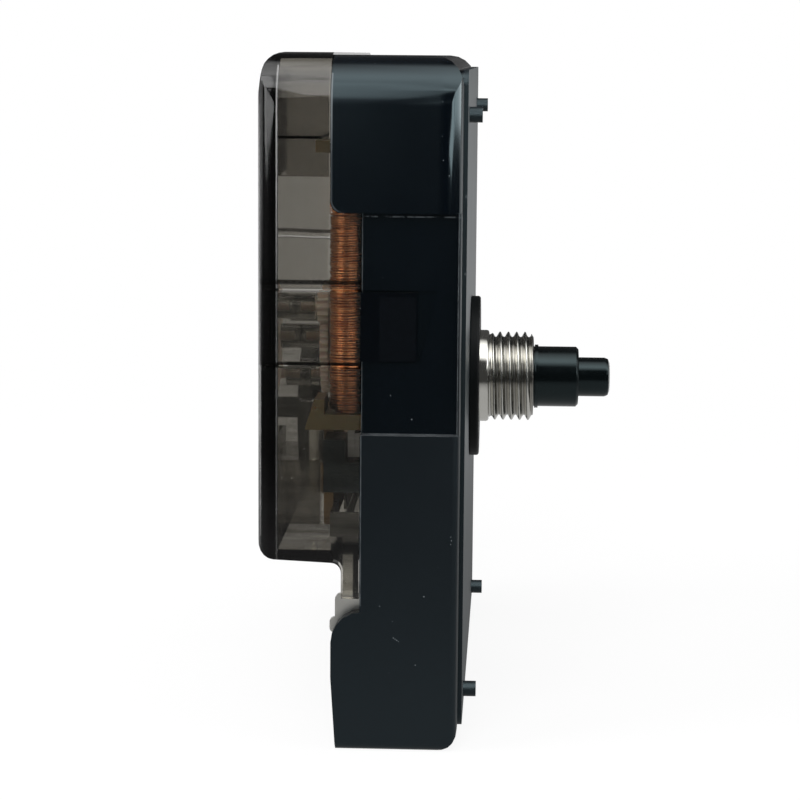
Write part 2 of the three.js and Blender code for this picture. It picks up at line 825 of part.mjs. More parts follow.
// A bar with a helical thread, a turn longer at both ends than from and to.
function threadBar(from, to) {
  const lead = threadSection.length;
  const rows = (Math.ceil((to - from) / threadPitch) + 3) * lead;
  const start = from - 2 * threadPitch;
  const positions = [];
  for (let row = 0; row <= rows; row++) {
    const [share, radius] = threadSection[row % lead];
    for (let i = 0; i < threadSides; i++) {
      const angle = (i * 2 * Math.PI) / threadSides;
      const turns = Math.floor(row / lead) + share + i / threadSides;
      positions.push(start + turns * threadPitch, radius * Math.cos(angle), radius * Math.sin(angle));
    }
  }
  // The column after the last is the first one, a pitch further on.
  const at = (row, i) => (i < threadSides ? row * threadSides + i : (row + lead) * threadSides);
  const faces = [];
  for (let i = 0; i < threadSides; i++) {
    const end = i < threadSides - 1 ? rows : rows - lead;
    for (let row = 0; row < end; row++) {
      faces.push(at(row, i), at(row, i + 1), at(row + 1, i + 1));
      faces.push(at(row, i), at(row + 1, i + 1), at(row + 1, i));
    }
  }
  const low = [];
  const high = [at(rows, 0)];
  for (let i = 0; i < threadSides; i++) low.push(at(0, i));
  for (let row = lead; row > 0; row--) {
    low.push(at(row, 0));
    high.push(at(rows - row, threadSides - 1));
  }
  for (let i = threadSides - 1; i > 0; i--) high.push(at(rows, i));
  for (const rim of [low, high]) {
    const middle = positions.length / 3;
    positions.push(positions[3 * rim[0]], 0, 0);
    rim.forEach((corner, i) => faces.push(middle, rim[(i + 1) % rim.length], corner));
  }
  const bar = new THREE.BufferGeometry();
  bar.setAttribute("position", new THREE.Float32BufferAttribute(positions, 3));
  bar.setIndex(faces);
  return solid(bar);
}

function threadedBushing() {
  const shoulderFrom = threadStart - bushingShoulderRound;
  const threadEnd = bushingLength - threadChamfer;
  const envelope = turned(
    [
      [threadStart - overrun, 0],
      [threadStart - overrun, threadRadius],
      [threadEnd, threadRadius],
      [bushingLength, threadRadius - threadDepth],
      [bushingLength, 0],
    ],
    threadSides,
    origin,
  );
  const thread = threadBar(threadStart - overrun, bushingLength).intersect(envelope);
  const body = turned(
    [
      [floorX - bushingFlangeThickness, 0],
      [floorX - bushingFlangeThickness, bushingNeckRadius + bushingFlangeStep],
      [floorX, bushingNeckRadius + bushingFlangeStep],
      [floorX, bushingNeckRadius],
      [0, bushingNeckRadius],
      [0, bushingShoulderRadius],
      [shoulderFrom, bushingShoulderRadius],
      [threadStart, bushingShoulderRadius - bushingShoulderRound],
      [threadStart, 0],
    ],
    threadSides,
    origin,
  );
  const bore = rod(origin, bushingBore, floorX - overrun, bushingLength + overrun, threadSides);
  return cut(joined(body, thread), bore);
}

function rubberWasher() {
  const bore = bushingShoulderRadius + washerClearance;
  return turned(
    [
      [0, bore],
      [0, washerRadius],
      [washerThickness - washerEdge, washerRadius],
      [washerThickness, washerRadius - washerEdge],
      [washerThickness, bore],
    ],
    shaftSides,
  );
}

// Hand shafts and the wheels in front of the middle plate

function hourWheel() {
  const tube = turned(
    [
      [-hourDepth - hourThickness, hourBore],
      [-hourDepth - hourThickness, hourRadius],
      [hourCollarFrom, hourRadius],
      [hourCollarFrom, hourRadius + hourCollarStep],
      [hourCollarTo, hourRadius + hourCollarStep],
      [hourCollarTo, hourRadius],
      [hourLength - tipChamfer, hourRadius],
      [hourLength, hourRadius - tipChamfer],
      [hourLength, hourBore],
    ],
    shaftSides,
  );
  const wheel = gear(hourTeeth, hourModule, hourPhase, -hourDepth - hourThickness, -hourDepth);
  const hole = rod(origin, (hourBore + hourRadius) / 2, -hourDepth - hourThickness, -hourDepth, shaftSides);
  return joined(tube, wheel.subtract(hole));
}

function minuteShaft() {
  const rear = -plateDepth + plateThickness + pivotEndPlay;
  const roundness = minuteTipRadius * (1 - Math.SQRT1_2);
  const shaftBody = turned(
    [
      [rear, 0],
      [rear, minuteStubRadius],
      [-minuteShoulderDepth, minuteStubRadius],
      [-minuteShoulderDepth, minuteRadius],
      [minuteLength - minuteTipRadius, minuteRadius],
      [minuteLength - roundness, minuteRadius - roundness],
      [minuteLength, minuteRadius - minuteTipRadius],
      [minuteLength, 0],
    ],
    shaftSides,
  );
  const cannon = gear(cannonTeeth, motionModule, 0, -cannonDepth, -minuteShoulderDepth);
  const bore = rod(origin, minuteBore, rear - overrun, minuteBoreEnd, boreSides);
  return cut(joined(shaftBody, cannon), bore);
}

function minuteWheel() {
  const wheel = gear(minuteTeeth, minuteModule, minutePhase, -minuteDepth - wheelThickness, -minuteDepth);
  const bore = rod(origin, minuteWheelBore, -plateDepth, 0, boreSides);
  return wheel.subtract(bore);
}

// A dished washer between the minute wheel and the cannon pinion.
function clutchSpring() {
  const back = -minuteDepth;
  return turned(
    [
      [back, clutchRadius],
      [back + clutchThickness, clutchRadius],
      [back + clutchRise + clutchThickness, minuteWheelBore],
      [back + clutchRise, minuteWheelBore],
    ],
    boreSides,
  );
}

function minuteWorkWheel() {
  const wheelBack = -minuteWorkDepth - wheelThickness - pinionOverlap;
  const wheel = gear(minuteWorkTeeth, motionModule, minuteWorkPhase, wheelBack, -minuteWorkDepth);
  const pinion = gear(minuteWorkPinionTeeth, hourModule, 0, -minuteWorkDepth, -hourDepth + pinionOverlap);
  const hub = rod(origin, workHubRadius, -hourDepth, floorX - pivotEndPlay, boreSides);
  const bore = rod(origin, workPinBore, wheelBack - overrun, floorX, boreSides);
  return cut(joined(wheel, pinion, hub), bore);
}

function minuteWorkPin() {
  return rod(origin, workPinRadius, -workPinEnd, floorX + workPinSeat / 2, arborSides);
}

// Going train

function secondsWheel() {
  const pinionFrom = -thirdDepth - wheelThickness - pinionOverlap;
  const train = wheelOnArbor({
    teeth: secondsTeeth,
    module: trainModule,
    phase: secondsPhase,
    depth: secondsDepth,
    pinionModule: trainModule,
    pinionFrom,
    pinionTo: -thirdDepth + pinionOverlap,
    frontEnd: -thirdDepth,
  });
  return joined(train, rod(origin, spindleRadius, -thirdDepth, spindleEnd));
}

function thirdWheel() {
  const pinionTo = -minuteDepth + pivotEndPlay / 2;
  const train = wheelOnArbor({
    teeth: thirdTeeth,
    module: trainModule,
    phase: thirdPhase,
    depth: thirdDepth,
    pinionModule: minuteModule,
    pinionFrom: -minuteDepth - wheelThickness - pinionOverlap,
    pinionTo,
    frontEnd: pinionTo,
  });
  return joined(train, rod(origin, pivotRadius, pinionTo, -minuteDepth + pivotEndPlay + pivotDepth));
}

function intermediateWheel() {
  const shoulder = -plateDepth - pivotEndPlay;
  const train = wheelOnArbor({
    teeth: intermediateTeeth,
    module: trainModule,
    phase: intermediatePhase,
    depth: intermediateDepth,
    pinionModule: trainModule,
    pinionFrom: -secondsDepth - wheelThickness - pinionOverlap,
    pinionTo: -secondsDepth + pinionOverlap,
    frontEnd: shoulder,
  });
  return joined(train, rod(origin, pivotRadius, shoulder, shoulder + pivotEndPlay + plateThickness));
}

function rotorPinion() {
  const back = coverInnerX + bossLength - pivotDepth;
  const shoulder = coverInnerX + bossLength + pivotEndPlay;
  const pinionTo = -intermediateDepth + pinionOverlap;
  return joined(
    rod(origin, pivotRadius, back, shoulder),
    gear(rotorTeeth, trainModule, 0, shoulder, pinionTo),
    rod(origin, arborRadius, pinionTo, -magnetFront),
    rod(origin, magnetSeat, -magnetBack, -magnetFront, boreSides),
    rod(origin, pivotRadius, -magnetFront, -plateDepth + plateThickness),
  );
}

function rotorMagnet() {
  const ring = rod(origin, magnetRadius, -magnetBack, -magnetFront, shaftSides);
  return ring.subtract(rod(origin, magnetSeat + magnetClearance, -magnetBack - overrun, 0, boreSides));
}

// Middle plate, which carries the motor and the train's front pivots
function middlePlate() {
  const front = -plateDepth + plateThickness;
  const outline = rectangle([plateNear, plateFar], [plateBottom, plateTop], plateRadius);
  const plate = prismX(outline, -plateDepth, front);
  const through = [-plateDepth - overrun, front + overrun];
  const pinHoles = [postNear, postFar].flatMap((y) =>
    [postLow, postHigh].map((z) =>
      rod(new THREE.Vector2(y, z), postPinRadius + plateClearance, ...through, boreSides),
    ),
  );
  const standoffs = [boardNear + standoffInset, boardFar - standoffInset].map((y) =>
    rod(new THREE.Vector2(y, standoffZ), standoffRadius, -boardBack + boardThickness, front),
  );
  return cut(
    joined(plate, ...standoffs),
    rod(shaft, minuteBore, ...through, boreSides),
    rod(thirdAxis, thirdPassRadius, ...through, boreSides),
    rod(knobAxis, stemRadius + stemClearance, ...through, boreSides),
    rod(intermediateAxis, pivotRadius + pivotClearance, ...through, boreSides),
    rod(rotorAxis, pivotRadius + pivotClearance, ...through, boreSides),
    rod(rotorAxis, rotorPocketRadius, -plateDepth - overrun, -plateDepth + rotorPocketDepth, shaftSides),
    ...pinHoles,
  );
}

// Stepping motor

// Pole plates run from the ends of the coil's core to the rotor, as corners in (y, z).
function poleRoute(low) {
  const near = coilY - coreWidth / 2 - coreClearance;
  const [polY, polZ] = rotorAxis.toArray();
  const gap = statorGap / 2;
  if (low) {
    const foot = coreBottom;
    const head = lowerFlangeFoot - coreClearance - gap;
    return [
      [near, foot, 0],
      [polY - poleReach / 2, foot, poleReach],
      [polY + poleReach, polZ - poleReach, poleReach / 2],
      [polY + poleReach, polZ - gap, 0],
      [polY - poleReach, polZ - gap, 0],
      [polY - poleReach, polZ - poleReach, poleReach / 4],
      [flangeFar + coreWidth, head, poleReach / 4],
      [near, head, 0],
    ];
  }
  const foot = upperFlangeTop + coreClearance + gap;
  const head = coreTop;
  return [
    [near, foot, 0],
    [flangeFar + coreWidth, foot, poleReach / 4],
    [polY - poleReach, polZ + poleReach, poleReach / 4],
    [polY - poleReach, polZ + gap, 0],
    [polY + poleReach, polZ + gap, 0],
    [polY + poleReach, polZ + poleReach, poleReach / 2],
    [flangeFar + poleReach * 2, head, poleReach / 2],
    [near, head, 0],
  ];
}

function statorPole(low) {
  const back = -plateDepth - statorThickness;
  const plate = prismX(rounded(poleRoute(low)), back, -plateDepth);
  return plate.subtract(rod(rotorAxis, statorBore, back - overrun, 0, shaftSides));
}

const coreX = [-plateDepth - statorThickness - coreThickness, -plateDepth - statorThickness];
const coreY = [coilY - coreWidth / 2, coilY + coreWidth / 2];

function coilCore() {
  return slab(coreX, coreY, [coreBottom, coreTop]);
}

// A plain or hollow cylinder on the coil's upright axis.
function coilCylinder(radius, from, to, sides = boreSides) {
  return prismZ(disc(new THREE.Vector2(-coilDepth, coilY), radius, sides), from, to);
}

function coilSpool() {
  const lower = rounded([
    [-lowerFlangeBack, lowerFlangeFoot, 0],
    [-flangeFront, lowerFlangeFoot, 0],
    [-flangeFront, coilBottom, 0],
    [-terminalFront, coilBottom, 0],
    [-terminalFront, terminalTop, 0],
    [-terminalBack, terminalTop, 0],
  ]);
  const [x0, x1] = coreX;
  const [y0, y1] = coreY;
  const hole = slab(
    [x0 - coreClearance, x1 + coreClearance],
    [y0 - coreClearance, y1 + coreClearance],
    [coreBottom, coreTop],
  );
  return cut(
    joined(
      prismY(lower, flangeNear, flangeFar),
      slab([-upperFlangeBack, -flangeFront], [flangeNear, flangeFar], [coilTop, upperFlangeTop]),
      coilCylinder(spoolRadius, lowerFlangeFoot, upperFlangeTop),
    ),
    hole,
  );
}

function coilUnderlay() {
  const [from, to] = [coilBottom + underlayEndGap, coilTop - underlayEndGap];
  const sleeve = coilCylinder(coilRadius - 2 * wireRadius - underlayGap, from, to);
  return sleeve.subtract(coilCylinder(spoolRadius + underlayClearance, from - overrun, to + overrun));
}

// The outer layer of wire: a helix whose ends bend up the spool and meet its flanges squarely.
function wirePath() {
  const radius = coilRadius - wireRadius;
  const endRun = wireEndBend + 2 * wireRadius + wireEndGap;
  const from = coilBottom + endRun;
  const rise = coilTop - endRun - from;
  const steps = wireLoops * wireSteps;
  const points = [];
  for (let i = 0; i <= steps; i++) {
    const angle = (i * 2 * Math.PI) / wireSteps;
    const [x, y] = [radius * Math.cos(angle) - coilDepth, radius * Math.sin(angle) + coilY];
    points.push(new THREE.Vector3(x, y, from + (rise * i) / steps));
  }
  const endOf = (tip, next, up) => {
    const along = tip.clone().sub(next).setZ(0).normalize().multiplyScalar(wireEndBend);
    const lift = new THREE.Vector3(0, 0, up * wireEndBend);
    const bends = [];
    for (let i = 1; i <= bendSteps; i++) {
      const turn = ((i / bendSteps) * Math.PI) / 2;
      const bend = tip.clone().addScaledVector(along, Math.sin(turn));
      bends.push(bend.addScaledVector(lift, 1 - Math.cos(turn)));
    }
    const last = bends[bends.length - 1].clone();
    bends.push(last.setZ(last.z + up * 2 * wireRadius));
    return bends;
  };
  const start = endOf(points[0], points[1], -1).reverse();
  const end = endOf(points[steps], points[steps - 1], 1);
  return [...start, ...points, ...end];
}

// One unbroken tube along points, closed at both ends.
function tubeAlong(points, radius, sides) {
  const direction = (i) => {
    const back = points[Math.max(i - 1, 0)];
    const ahead = points[Math.min(i + 1, points.length - 1)];
    return ahead.clone().sub(back).normalize();
  };
  let across = new THREE.Vector3(1, 0, 0);
  const positions = [];
  points.forEach((point, i) => {
    const tangent = direction(i);
    across = across.addScaledVector(tangent, -across.dot(tangent)).normalize();
    const other = tangent.clone().cross(across);
    for (let k = 0; k < sides; k++) {
      const angle = (k * 2 * Math.PI) / sides;
      const rim = point.clone().addScaledVector(across, radius * Math.cos(angle));
      positions.push(...rim.addScaledVector(other, radius * Math.sin(angle)).toArray());
    }
  });
  const faces = [];
  for (let i = 0; i < points.length - 1; i++) {
    for (let k = 0; k < sides; k++) {
      const [a, b] = [i * sides + k, i * sides + ((k + 1) % sides)];
      faces.push(a, b, b + sides, a, b + sides, a + sides);
    }
  }
  const last = (points.length - 1) * sides;
  for (let k = 1; k < sides - 1; k++) {
    faces.push(0, k + 1, k);
    faces.push(last, last + k, last + k + 1);
  }
  const tube = new THREE.BufferGeometry();
  tube.setAttribute("position", new THREE.Float32BufferAttribute(positions, 3));
  tube.setIndex(faces);
  return tube;
}

// The least gap between parts of the wire that lie half a turn or more apart along it.
function leastGap(points, radius) {
  let least = Infinity;
  points.forEach((point, i) => {
    for (let k = i + wireSteps / 2; k < points.length; k++) {
      least = Math.min(least, point.distanceTo(points[k]));
    }
  });
  return least - 2 * radius;
}

function coilWire() {
  const path = wirePath();
  const gap = leastGap(path, wireRadius);
  console.log(`coil wire: least gap to itself ${gap.toFixed(3)} mm, wanted over ${wireLeastGap} mm`);
  return solid(tubeAlong(path, wireRadius, wireSides));
}

// A block of the housing's plastic that holds the lower ends of the core and of its pole plate.
function coilEndBlock() {
  const outline = rounded([
    [-blockBack, blockFoot, 0],
    [-blockFront - blockClearance, blockFoot, 0],
    [-blockFront - blockClearance, blockStep - blockClearance, 0],
    [coreX[0] - blockClearance, blockStep - blockClearance, 0],
    [coreX[0] - blockClearance, blockTop, 0],
    [-blockBack, blockTop, 0],
  ]);
  return prismY(outline, -housingInnerY + blockClearance, blockFar);
}

// Circuit

function circuitBoard() {
  const outline = rectangle([boardNear, boardFar], [boardBottom, boardTop], boardRadius);
  return prismX(outline, -boardBack, -boardBack + boardThickness);
}

// A drop of resin over the timing chip.
function chipDome() {
  const ringSteps = 4;
  const profile = [[0, 0]];
  for (let i = 0; i <= ringSteps; i++) {
    const turn = ((i / ringSteps) * Math.PI) / 2;
    profile.push([-chipHeight * Math.sin(turn), chipRadius * Math.cos(turn)]);
  }
  return turned(profile, boreSides);
}

const crystalX = -boardBack - crystalRadius - crystalGap;

function crystalCan() {
  const body = (radius, from, to) =>
    prismZ(disc(new THREE.Vector2(crystalX, crystalY), radius, boreSides), from, to);
  const foot = crystalFoot + crystalLength;
  return joined(
    body(crystalRadius - crystalStep, crystalFoot, foot),
    body(crystalRadius, crystalFoot + crystalStep, foot - 2 * crystalStep),
  );
}

// A wire from the can's foot that bends over and runs into the board.
function crystalLead(side) {
  const y = crystalY + side * leadSpread;
  const start = crystalFoot + crystalLength + crystalGap;
  const bend = (share) => {
    const turn = (share * Math.PI) / 2;
    const x = crystalX + leadBend * (1 - Math.cos(turn));
    return new THREE.Vector3(x, y, start + leadFall + leadBend * Math.sin(turn));
  };
  const points = [new THREE.Vector3(crystalX, y, start), bend(0), bend(1 / 2), bend(1)];
  points.push(new THREE.Vector3(-boardBack - crystalGap, y, points[3].z));
  return solid(tubeAlong(points, leadRadius, wireSides + 1));
}

// Battery bay contacts

// The upright plate against an end wall of the bay, with its strap up into the gear room.
function contactPlate(side) {
  const foot = bottom + contactFootHeight;
  const lugTop = bottom + lugTopHeight;
  const lugFoot = bottom + lugFootHeight;
  const plate = rounded([
    [-contactBack, foot, contactRadius],
    [-contactFront, foot, contactRadius],
    [-contactFront, contactTop, contactRadius],
    [-strapFront, contactTop, 0],
    [-strapFront, strapTop, 0],
    [-strapBack, strapTop, 0],
    [-strapBack, contactTop, 0],
    [-contactBack, contactTop, contactRadius / 2],
    [-contactBack, lugTop, 0],
    [-lugBack, lugTop, lugRadius],
    [-lugBack, lugFoot, lugRadius],
    [-contactBack, lugFoot, 0],
  ]);
  const outer = housingInnerY - contactGap;
  const inner = outer - contactThickness;
  return side < 0 ? prismY(plate, -outer, -inner) : prismY(plate, inner, outer);
}

const cellX = floorX - cellRadius - contactGap;
const cellZ = bottom + housingBottomWall + cellRadius + contactGap;
const strapInnerY = housingInnerY - contactGap;
const railBack = -boardBack + boardThickness + contactGap;
const railX = [railBack, railBack + contactThickness];

function positiveContact() {
  const inner = -housingInnerY + contactGap + contactThickness;
  const button = prismY(
    disc(new THREE.Vector2(cellX, cellZ), buttonRadius, boreSides),
    inner - contactThickness / 2,
    inner + buttonHeight,
  );
  const heights = [partitionTop + tongueFootRise, strapTop];
  const shelf = slab([railBack, -strapFront], [-strapInnerY, inner], heights);
  const tongue = slab(railX, [-strapInnerY, boardNear + tongueOverlap], heights);
  return joined(contactPlate(-1), button, shelf, tongue);
}

function negativeContact() {
  const inner = housingInnerY - contactGap - contactThickness;
  const knee = [inner - springReach, bottom + springKneeHeight];
  const springLow = bottom + springFootHeight;
  const springHigh = bottom + springTopHeight;
  const leaf = rounded([
    [inner + contactThickness / 2, springLow, 0],
    [inner + contactThickness / 2, springLow + contactThickness, 0],
    [knee[0] + contactThickness, knee[1], 0],
    [knee[0] + contactThickness + springReach / 2, springHigh, 0],
    [knee[0] + springReach / 2, springHigh, 0],
    [knee[0], knee[1], 0],
    [inner, springLow, 0],
  ]);
  const spring = prismX(leaf, cellX - springWidth / 2, cellX + springWidth / 2);
  const heights = [partitionTop + railFootRise, partitionTop + railTopRise];
  const shelf = slab([railBack, -strapFront], [inner, strapInnerY], heights);
  const rail = slab(railX, [boardFar - railOverlap, strapInnerY], heights);
  return joined(contactPlate(1), spring, shelf, rail);
}

// Setting knob on the back
function settingKnob() {
  const back = backX + knobRecess;
  const front = back + knobThickness;
  const points = [];
  for (let i = 0; i < 2 * knobFlutes; i++) {
    const radius = knobRadius * (1 - (i % 2) * fluteShare);
    const angle = (i * Math.PI) / knobFlutes;
    points.push(new THREE.Vector2(Math.cos(angle), Math.sin(angle)).multiplyScalar(radius));
  }
  const head = prismX(new THREE.Shape(points), back, front);
  const slot = slab(
    [back - overrun, back + knobSlotDepth],
    [-knobRadius + knobSlotWidth, knobRadius - knobSlotWidth],
    [-knobSlotWidth / 2, knobSlotWidth / 2],
  );
  const gearFrom = -minuteWorkDepth - wheelThickness - 2 * pinionOverlap;
  return joined(
    head.subtract(slot),
    rod(origin, stemRadius, front - knobSlotDepth, gearFrom + pinionOverlap, boreSides),
    gear(knobTeeth, motionModule, knobPhase, gearFrom, -minuteWorkDepth + pinionOverlap),
    rod(origin, pivotRadius, -minuteWorkDepth, floorX - pivotEndPlay),
  );
}

// The object

const blackPlastic = { color: 0x14181b, roughness: 0.35, metalness: 0 };
const smokedPlastic = { color: 0x4a4844, roughness: 0.08, metalness: 0, transparent: true, opacity: 0.45 };
const nickel = { color: 0xc9c7c0, roughness: 0.22, metalness: 1 };
const copper = { color: 0xb8672f, roughness: 0.35, metalness: 1 };
const steel = { color: 0x8d8f90, roughness: 0.4, metalness: 1 };
const naturalPlastic = { color: 0xd9d6cb, roughness: 0.5, metalness: 0 };

const movement = new THREE.Group();

function place(name, made, finish, centre = origin) {
  const mesh = made.getMesh();
  const geometry = new THREE.BufferGeometry();
  geometry.setAttribute("position", new THREE.BufferAttribute(Float32Array.from(mesh.vertProperties), 3));
  geometry.setIndex(new THREE.BufferAttribute(Uint32Array.from(mesh.triVerts), 1));
  const piece = new THREE.Mesh(geometry, new THREE.MeshStandardMaterial(finish));
  piece.name = name;
  piece.position.set(0, centre.x, centre.y);
  movement.add(piece);
}

place("front_housing", frontHousing(), blackPlastic);
place("rear_cover", rearCover(), smokedPlastic);
place("threaded_bushing", threadedBushing(), nickel, shaft);
place("rubber_washer", rubberWasher(), { color: 0x0d0e0f, roughness: 0.8, metalness: 0 }, shaft);
place("hour_wheel_tube", hourWheel(), blackPlastic, shaft);
place("minute_shaft", minuteShaft(), blackPlastic, shaft);
place("minute_wheel", minuteWheel(), naturalPlastic, shaft);
place("clutch_spring", clutchSpring(), steel, shaft);
place("minute_work_wheel", minuteWorkWheel(), naturalPlastic, minuteWorkAxis);
place("minute_work_pin", minuteWorkPin(), steel, minuteWorkAxis);
place("seconds_wheel", secondsWheel(), naturalPlastic, shaft);
place("third_wheel", thirdWheel(), naturalPlastic, thirdAxis);
place("intermediate_wheel", intermediateWheel(), naturalPlastic, intermediateAxis);
place("rotor_pinion", rotorPinion(), naturalPlastic, rotorAxis);
place("rotor_magnet", rotorMagnet(), { color: 0x3c3d40, roughness: 0.5, metalness: 0.7 }, rotorAxis);
place("middle_plate", middlePlate(), { color: 0x1b1f21, roughness: 0.5, metalness: 0 });
place("stator_lower_pole", statorPole(true), steel);
place("stator_upper_pole", statorPole(false), steel);
place("coil_core", coilCore(), steel);
place("coil_spool", coilSpool(), { color: 0x5a4f2c, roughness: 0.45, metalness: 0 });
place("coil_underlay", coilUnderlay(), copper);
place("coil_wire", coilWire(), copper);
place("coil_end_block", coilEndBlock(), blackPlastic);
place("circuit_board", circuitBoard(), { color: 0x5b4a2a, roughness: 0.55, metalness: 0 });
const chipCentre = new THREE.Vector2(boardNear + chipInset, chipZ);
place("timing_chip", chipDome().translate(-boardBack, 0, 0), blackPlastic, chipCentre);
place("quartz_crystal", crystalCan(), nickel);
place("crystal_lead_near", crystalLead(-1), nickel);
place("crystal_lead_far", crystalLead(1), nickel);
place("positive_contact", positiveContact(), nickel);
place("negative_contact", negativeContact(), nickel);
place("setting_knob", settingKnob(), blackPlastic, knobAxis);

// The tip of the minute shaft and the back of the cover end up at the same distance from x = 0.
movement.position.set((bodyDepth - minuteLength) / 2, 0, bodyHeight / 2);

export default movement;
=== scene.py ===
"""Looks of a quartz clock movement: black moulded case, smoked rear cover with the coil, motor
and wheels behind it, nickel plated threaded bushing and black hand shafts. Sizes are in metres
through MM, in the frame of the CAD model: +X out of the dial side, +Z up."""

import json
import math
import random

import bmesh
import bpy
from mathutils import Matrix, Vector


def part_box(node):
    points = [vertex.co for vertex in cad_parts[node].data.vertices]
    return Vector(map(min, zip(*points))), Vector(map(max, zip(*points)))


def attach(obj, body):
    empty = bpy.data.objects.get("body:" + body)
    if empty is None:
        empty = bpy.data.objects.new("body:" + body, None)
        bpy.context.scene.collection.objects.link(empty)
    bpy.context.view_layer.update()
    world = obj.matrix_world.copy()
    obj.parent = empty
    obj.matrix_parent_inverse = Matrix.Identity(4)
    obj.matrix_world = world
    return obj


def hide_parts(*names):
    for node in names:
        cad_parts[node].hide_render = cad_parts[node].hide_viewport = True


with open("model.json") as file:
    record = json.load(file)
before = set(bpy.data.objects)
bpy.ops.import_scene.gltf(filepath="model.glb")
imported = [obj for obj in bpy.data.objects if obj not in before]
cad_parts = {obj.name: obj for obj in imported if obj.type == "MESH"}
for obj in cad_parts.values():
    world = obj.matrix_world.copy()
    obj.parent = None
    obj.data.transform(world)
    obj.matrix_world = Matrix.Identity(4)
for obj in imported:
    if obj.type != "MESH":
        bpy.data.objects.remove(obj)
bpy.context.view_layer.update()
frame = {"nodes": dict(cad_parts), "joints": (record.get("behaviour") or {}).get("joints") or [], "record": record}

MM = 0.001
PER_MM = 1000.0  # a texture scale of one feature to a millimetre


def body_box(name):
    """Lowest and highest corner of a CAD node."""
    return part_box(name)


COVER_LOW = body_box("rear_cover")[0]
JOINTS = {joint["name"]: Vector(joint["pos_m"]) for joint in frame["joints"]}
SHAFT = JOINTS["minute_shaft_spin"]
SIZE_Z = body_box("front_housing")[1].z
FACE_X = body_box("rubber_washer")[0].x  # the mounting face
RECESS_HEAD = 43.5 * MM  # upper and lower edge of the recess in the sides, over the object's foot
RECESS_FOOT = 25.87 * MM
PANEL_BACK = FACE_X - 10.7 * MM  # rear edge of the housing's sides, above the recess
RECESS_BACK = FACE_X - 8.27 * MM  # and below it
RECESS_FRONT = FACE_X - 0.6 * MM
SCREEN_Y = -19.5 * MM  # near face of the ribs inside the cover
COIL_X = (body_box("coil_wire")[0].x + body_box("coil_wire")[1].x) / 2

# Camera, fitted to the photograph's edges
CAMERA_PLACE = Vector((5.442, -214.503, 55.859)) * MM
CAMERA_YAW = 2.63
CAMERA_PITCH = -8.26
CAMERA_ROLL = -0.44
FOCAL_LENGTH = 107.12
SENSOR_WIDTH = 36.0


def make_camera():
    data = bpy.data.cameras.new("camera")
    data.lens = FOCAL_LENGTH
    data.sensor_width = SENSOR_WIDTH
    data.clip_start = 10 * MM
    data.clip_end = 10.0
    camera = bpy.data.objects.new("camera", data)
    bpy.context.scene.collection.objects.link(camera)
    yaw = Matrix.Rotation(math.radians(CAMERA_YAW), 3, "Z")
    pitch = Matrix.Rotation(math.radians(CAMERA_PITCH), 3, "X")
    roll = Matrix.Rotation(math.radians(CAMERA_ROLL), 3, "Y")
    upright = Matrix.Rotation(math.radians(90), 3, "X")
    turned = yaw @ pitch @ roll @ upright
    camera.matrix_world = Matrix.Translation(CAMERA_PLACE) @ turned.to_4x4()
    bpy.context.scene.camera = camera


# Node materials


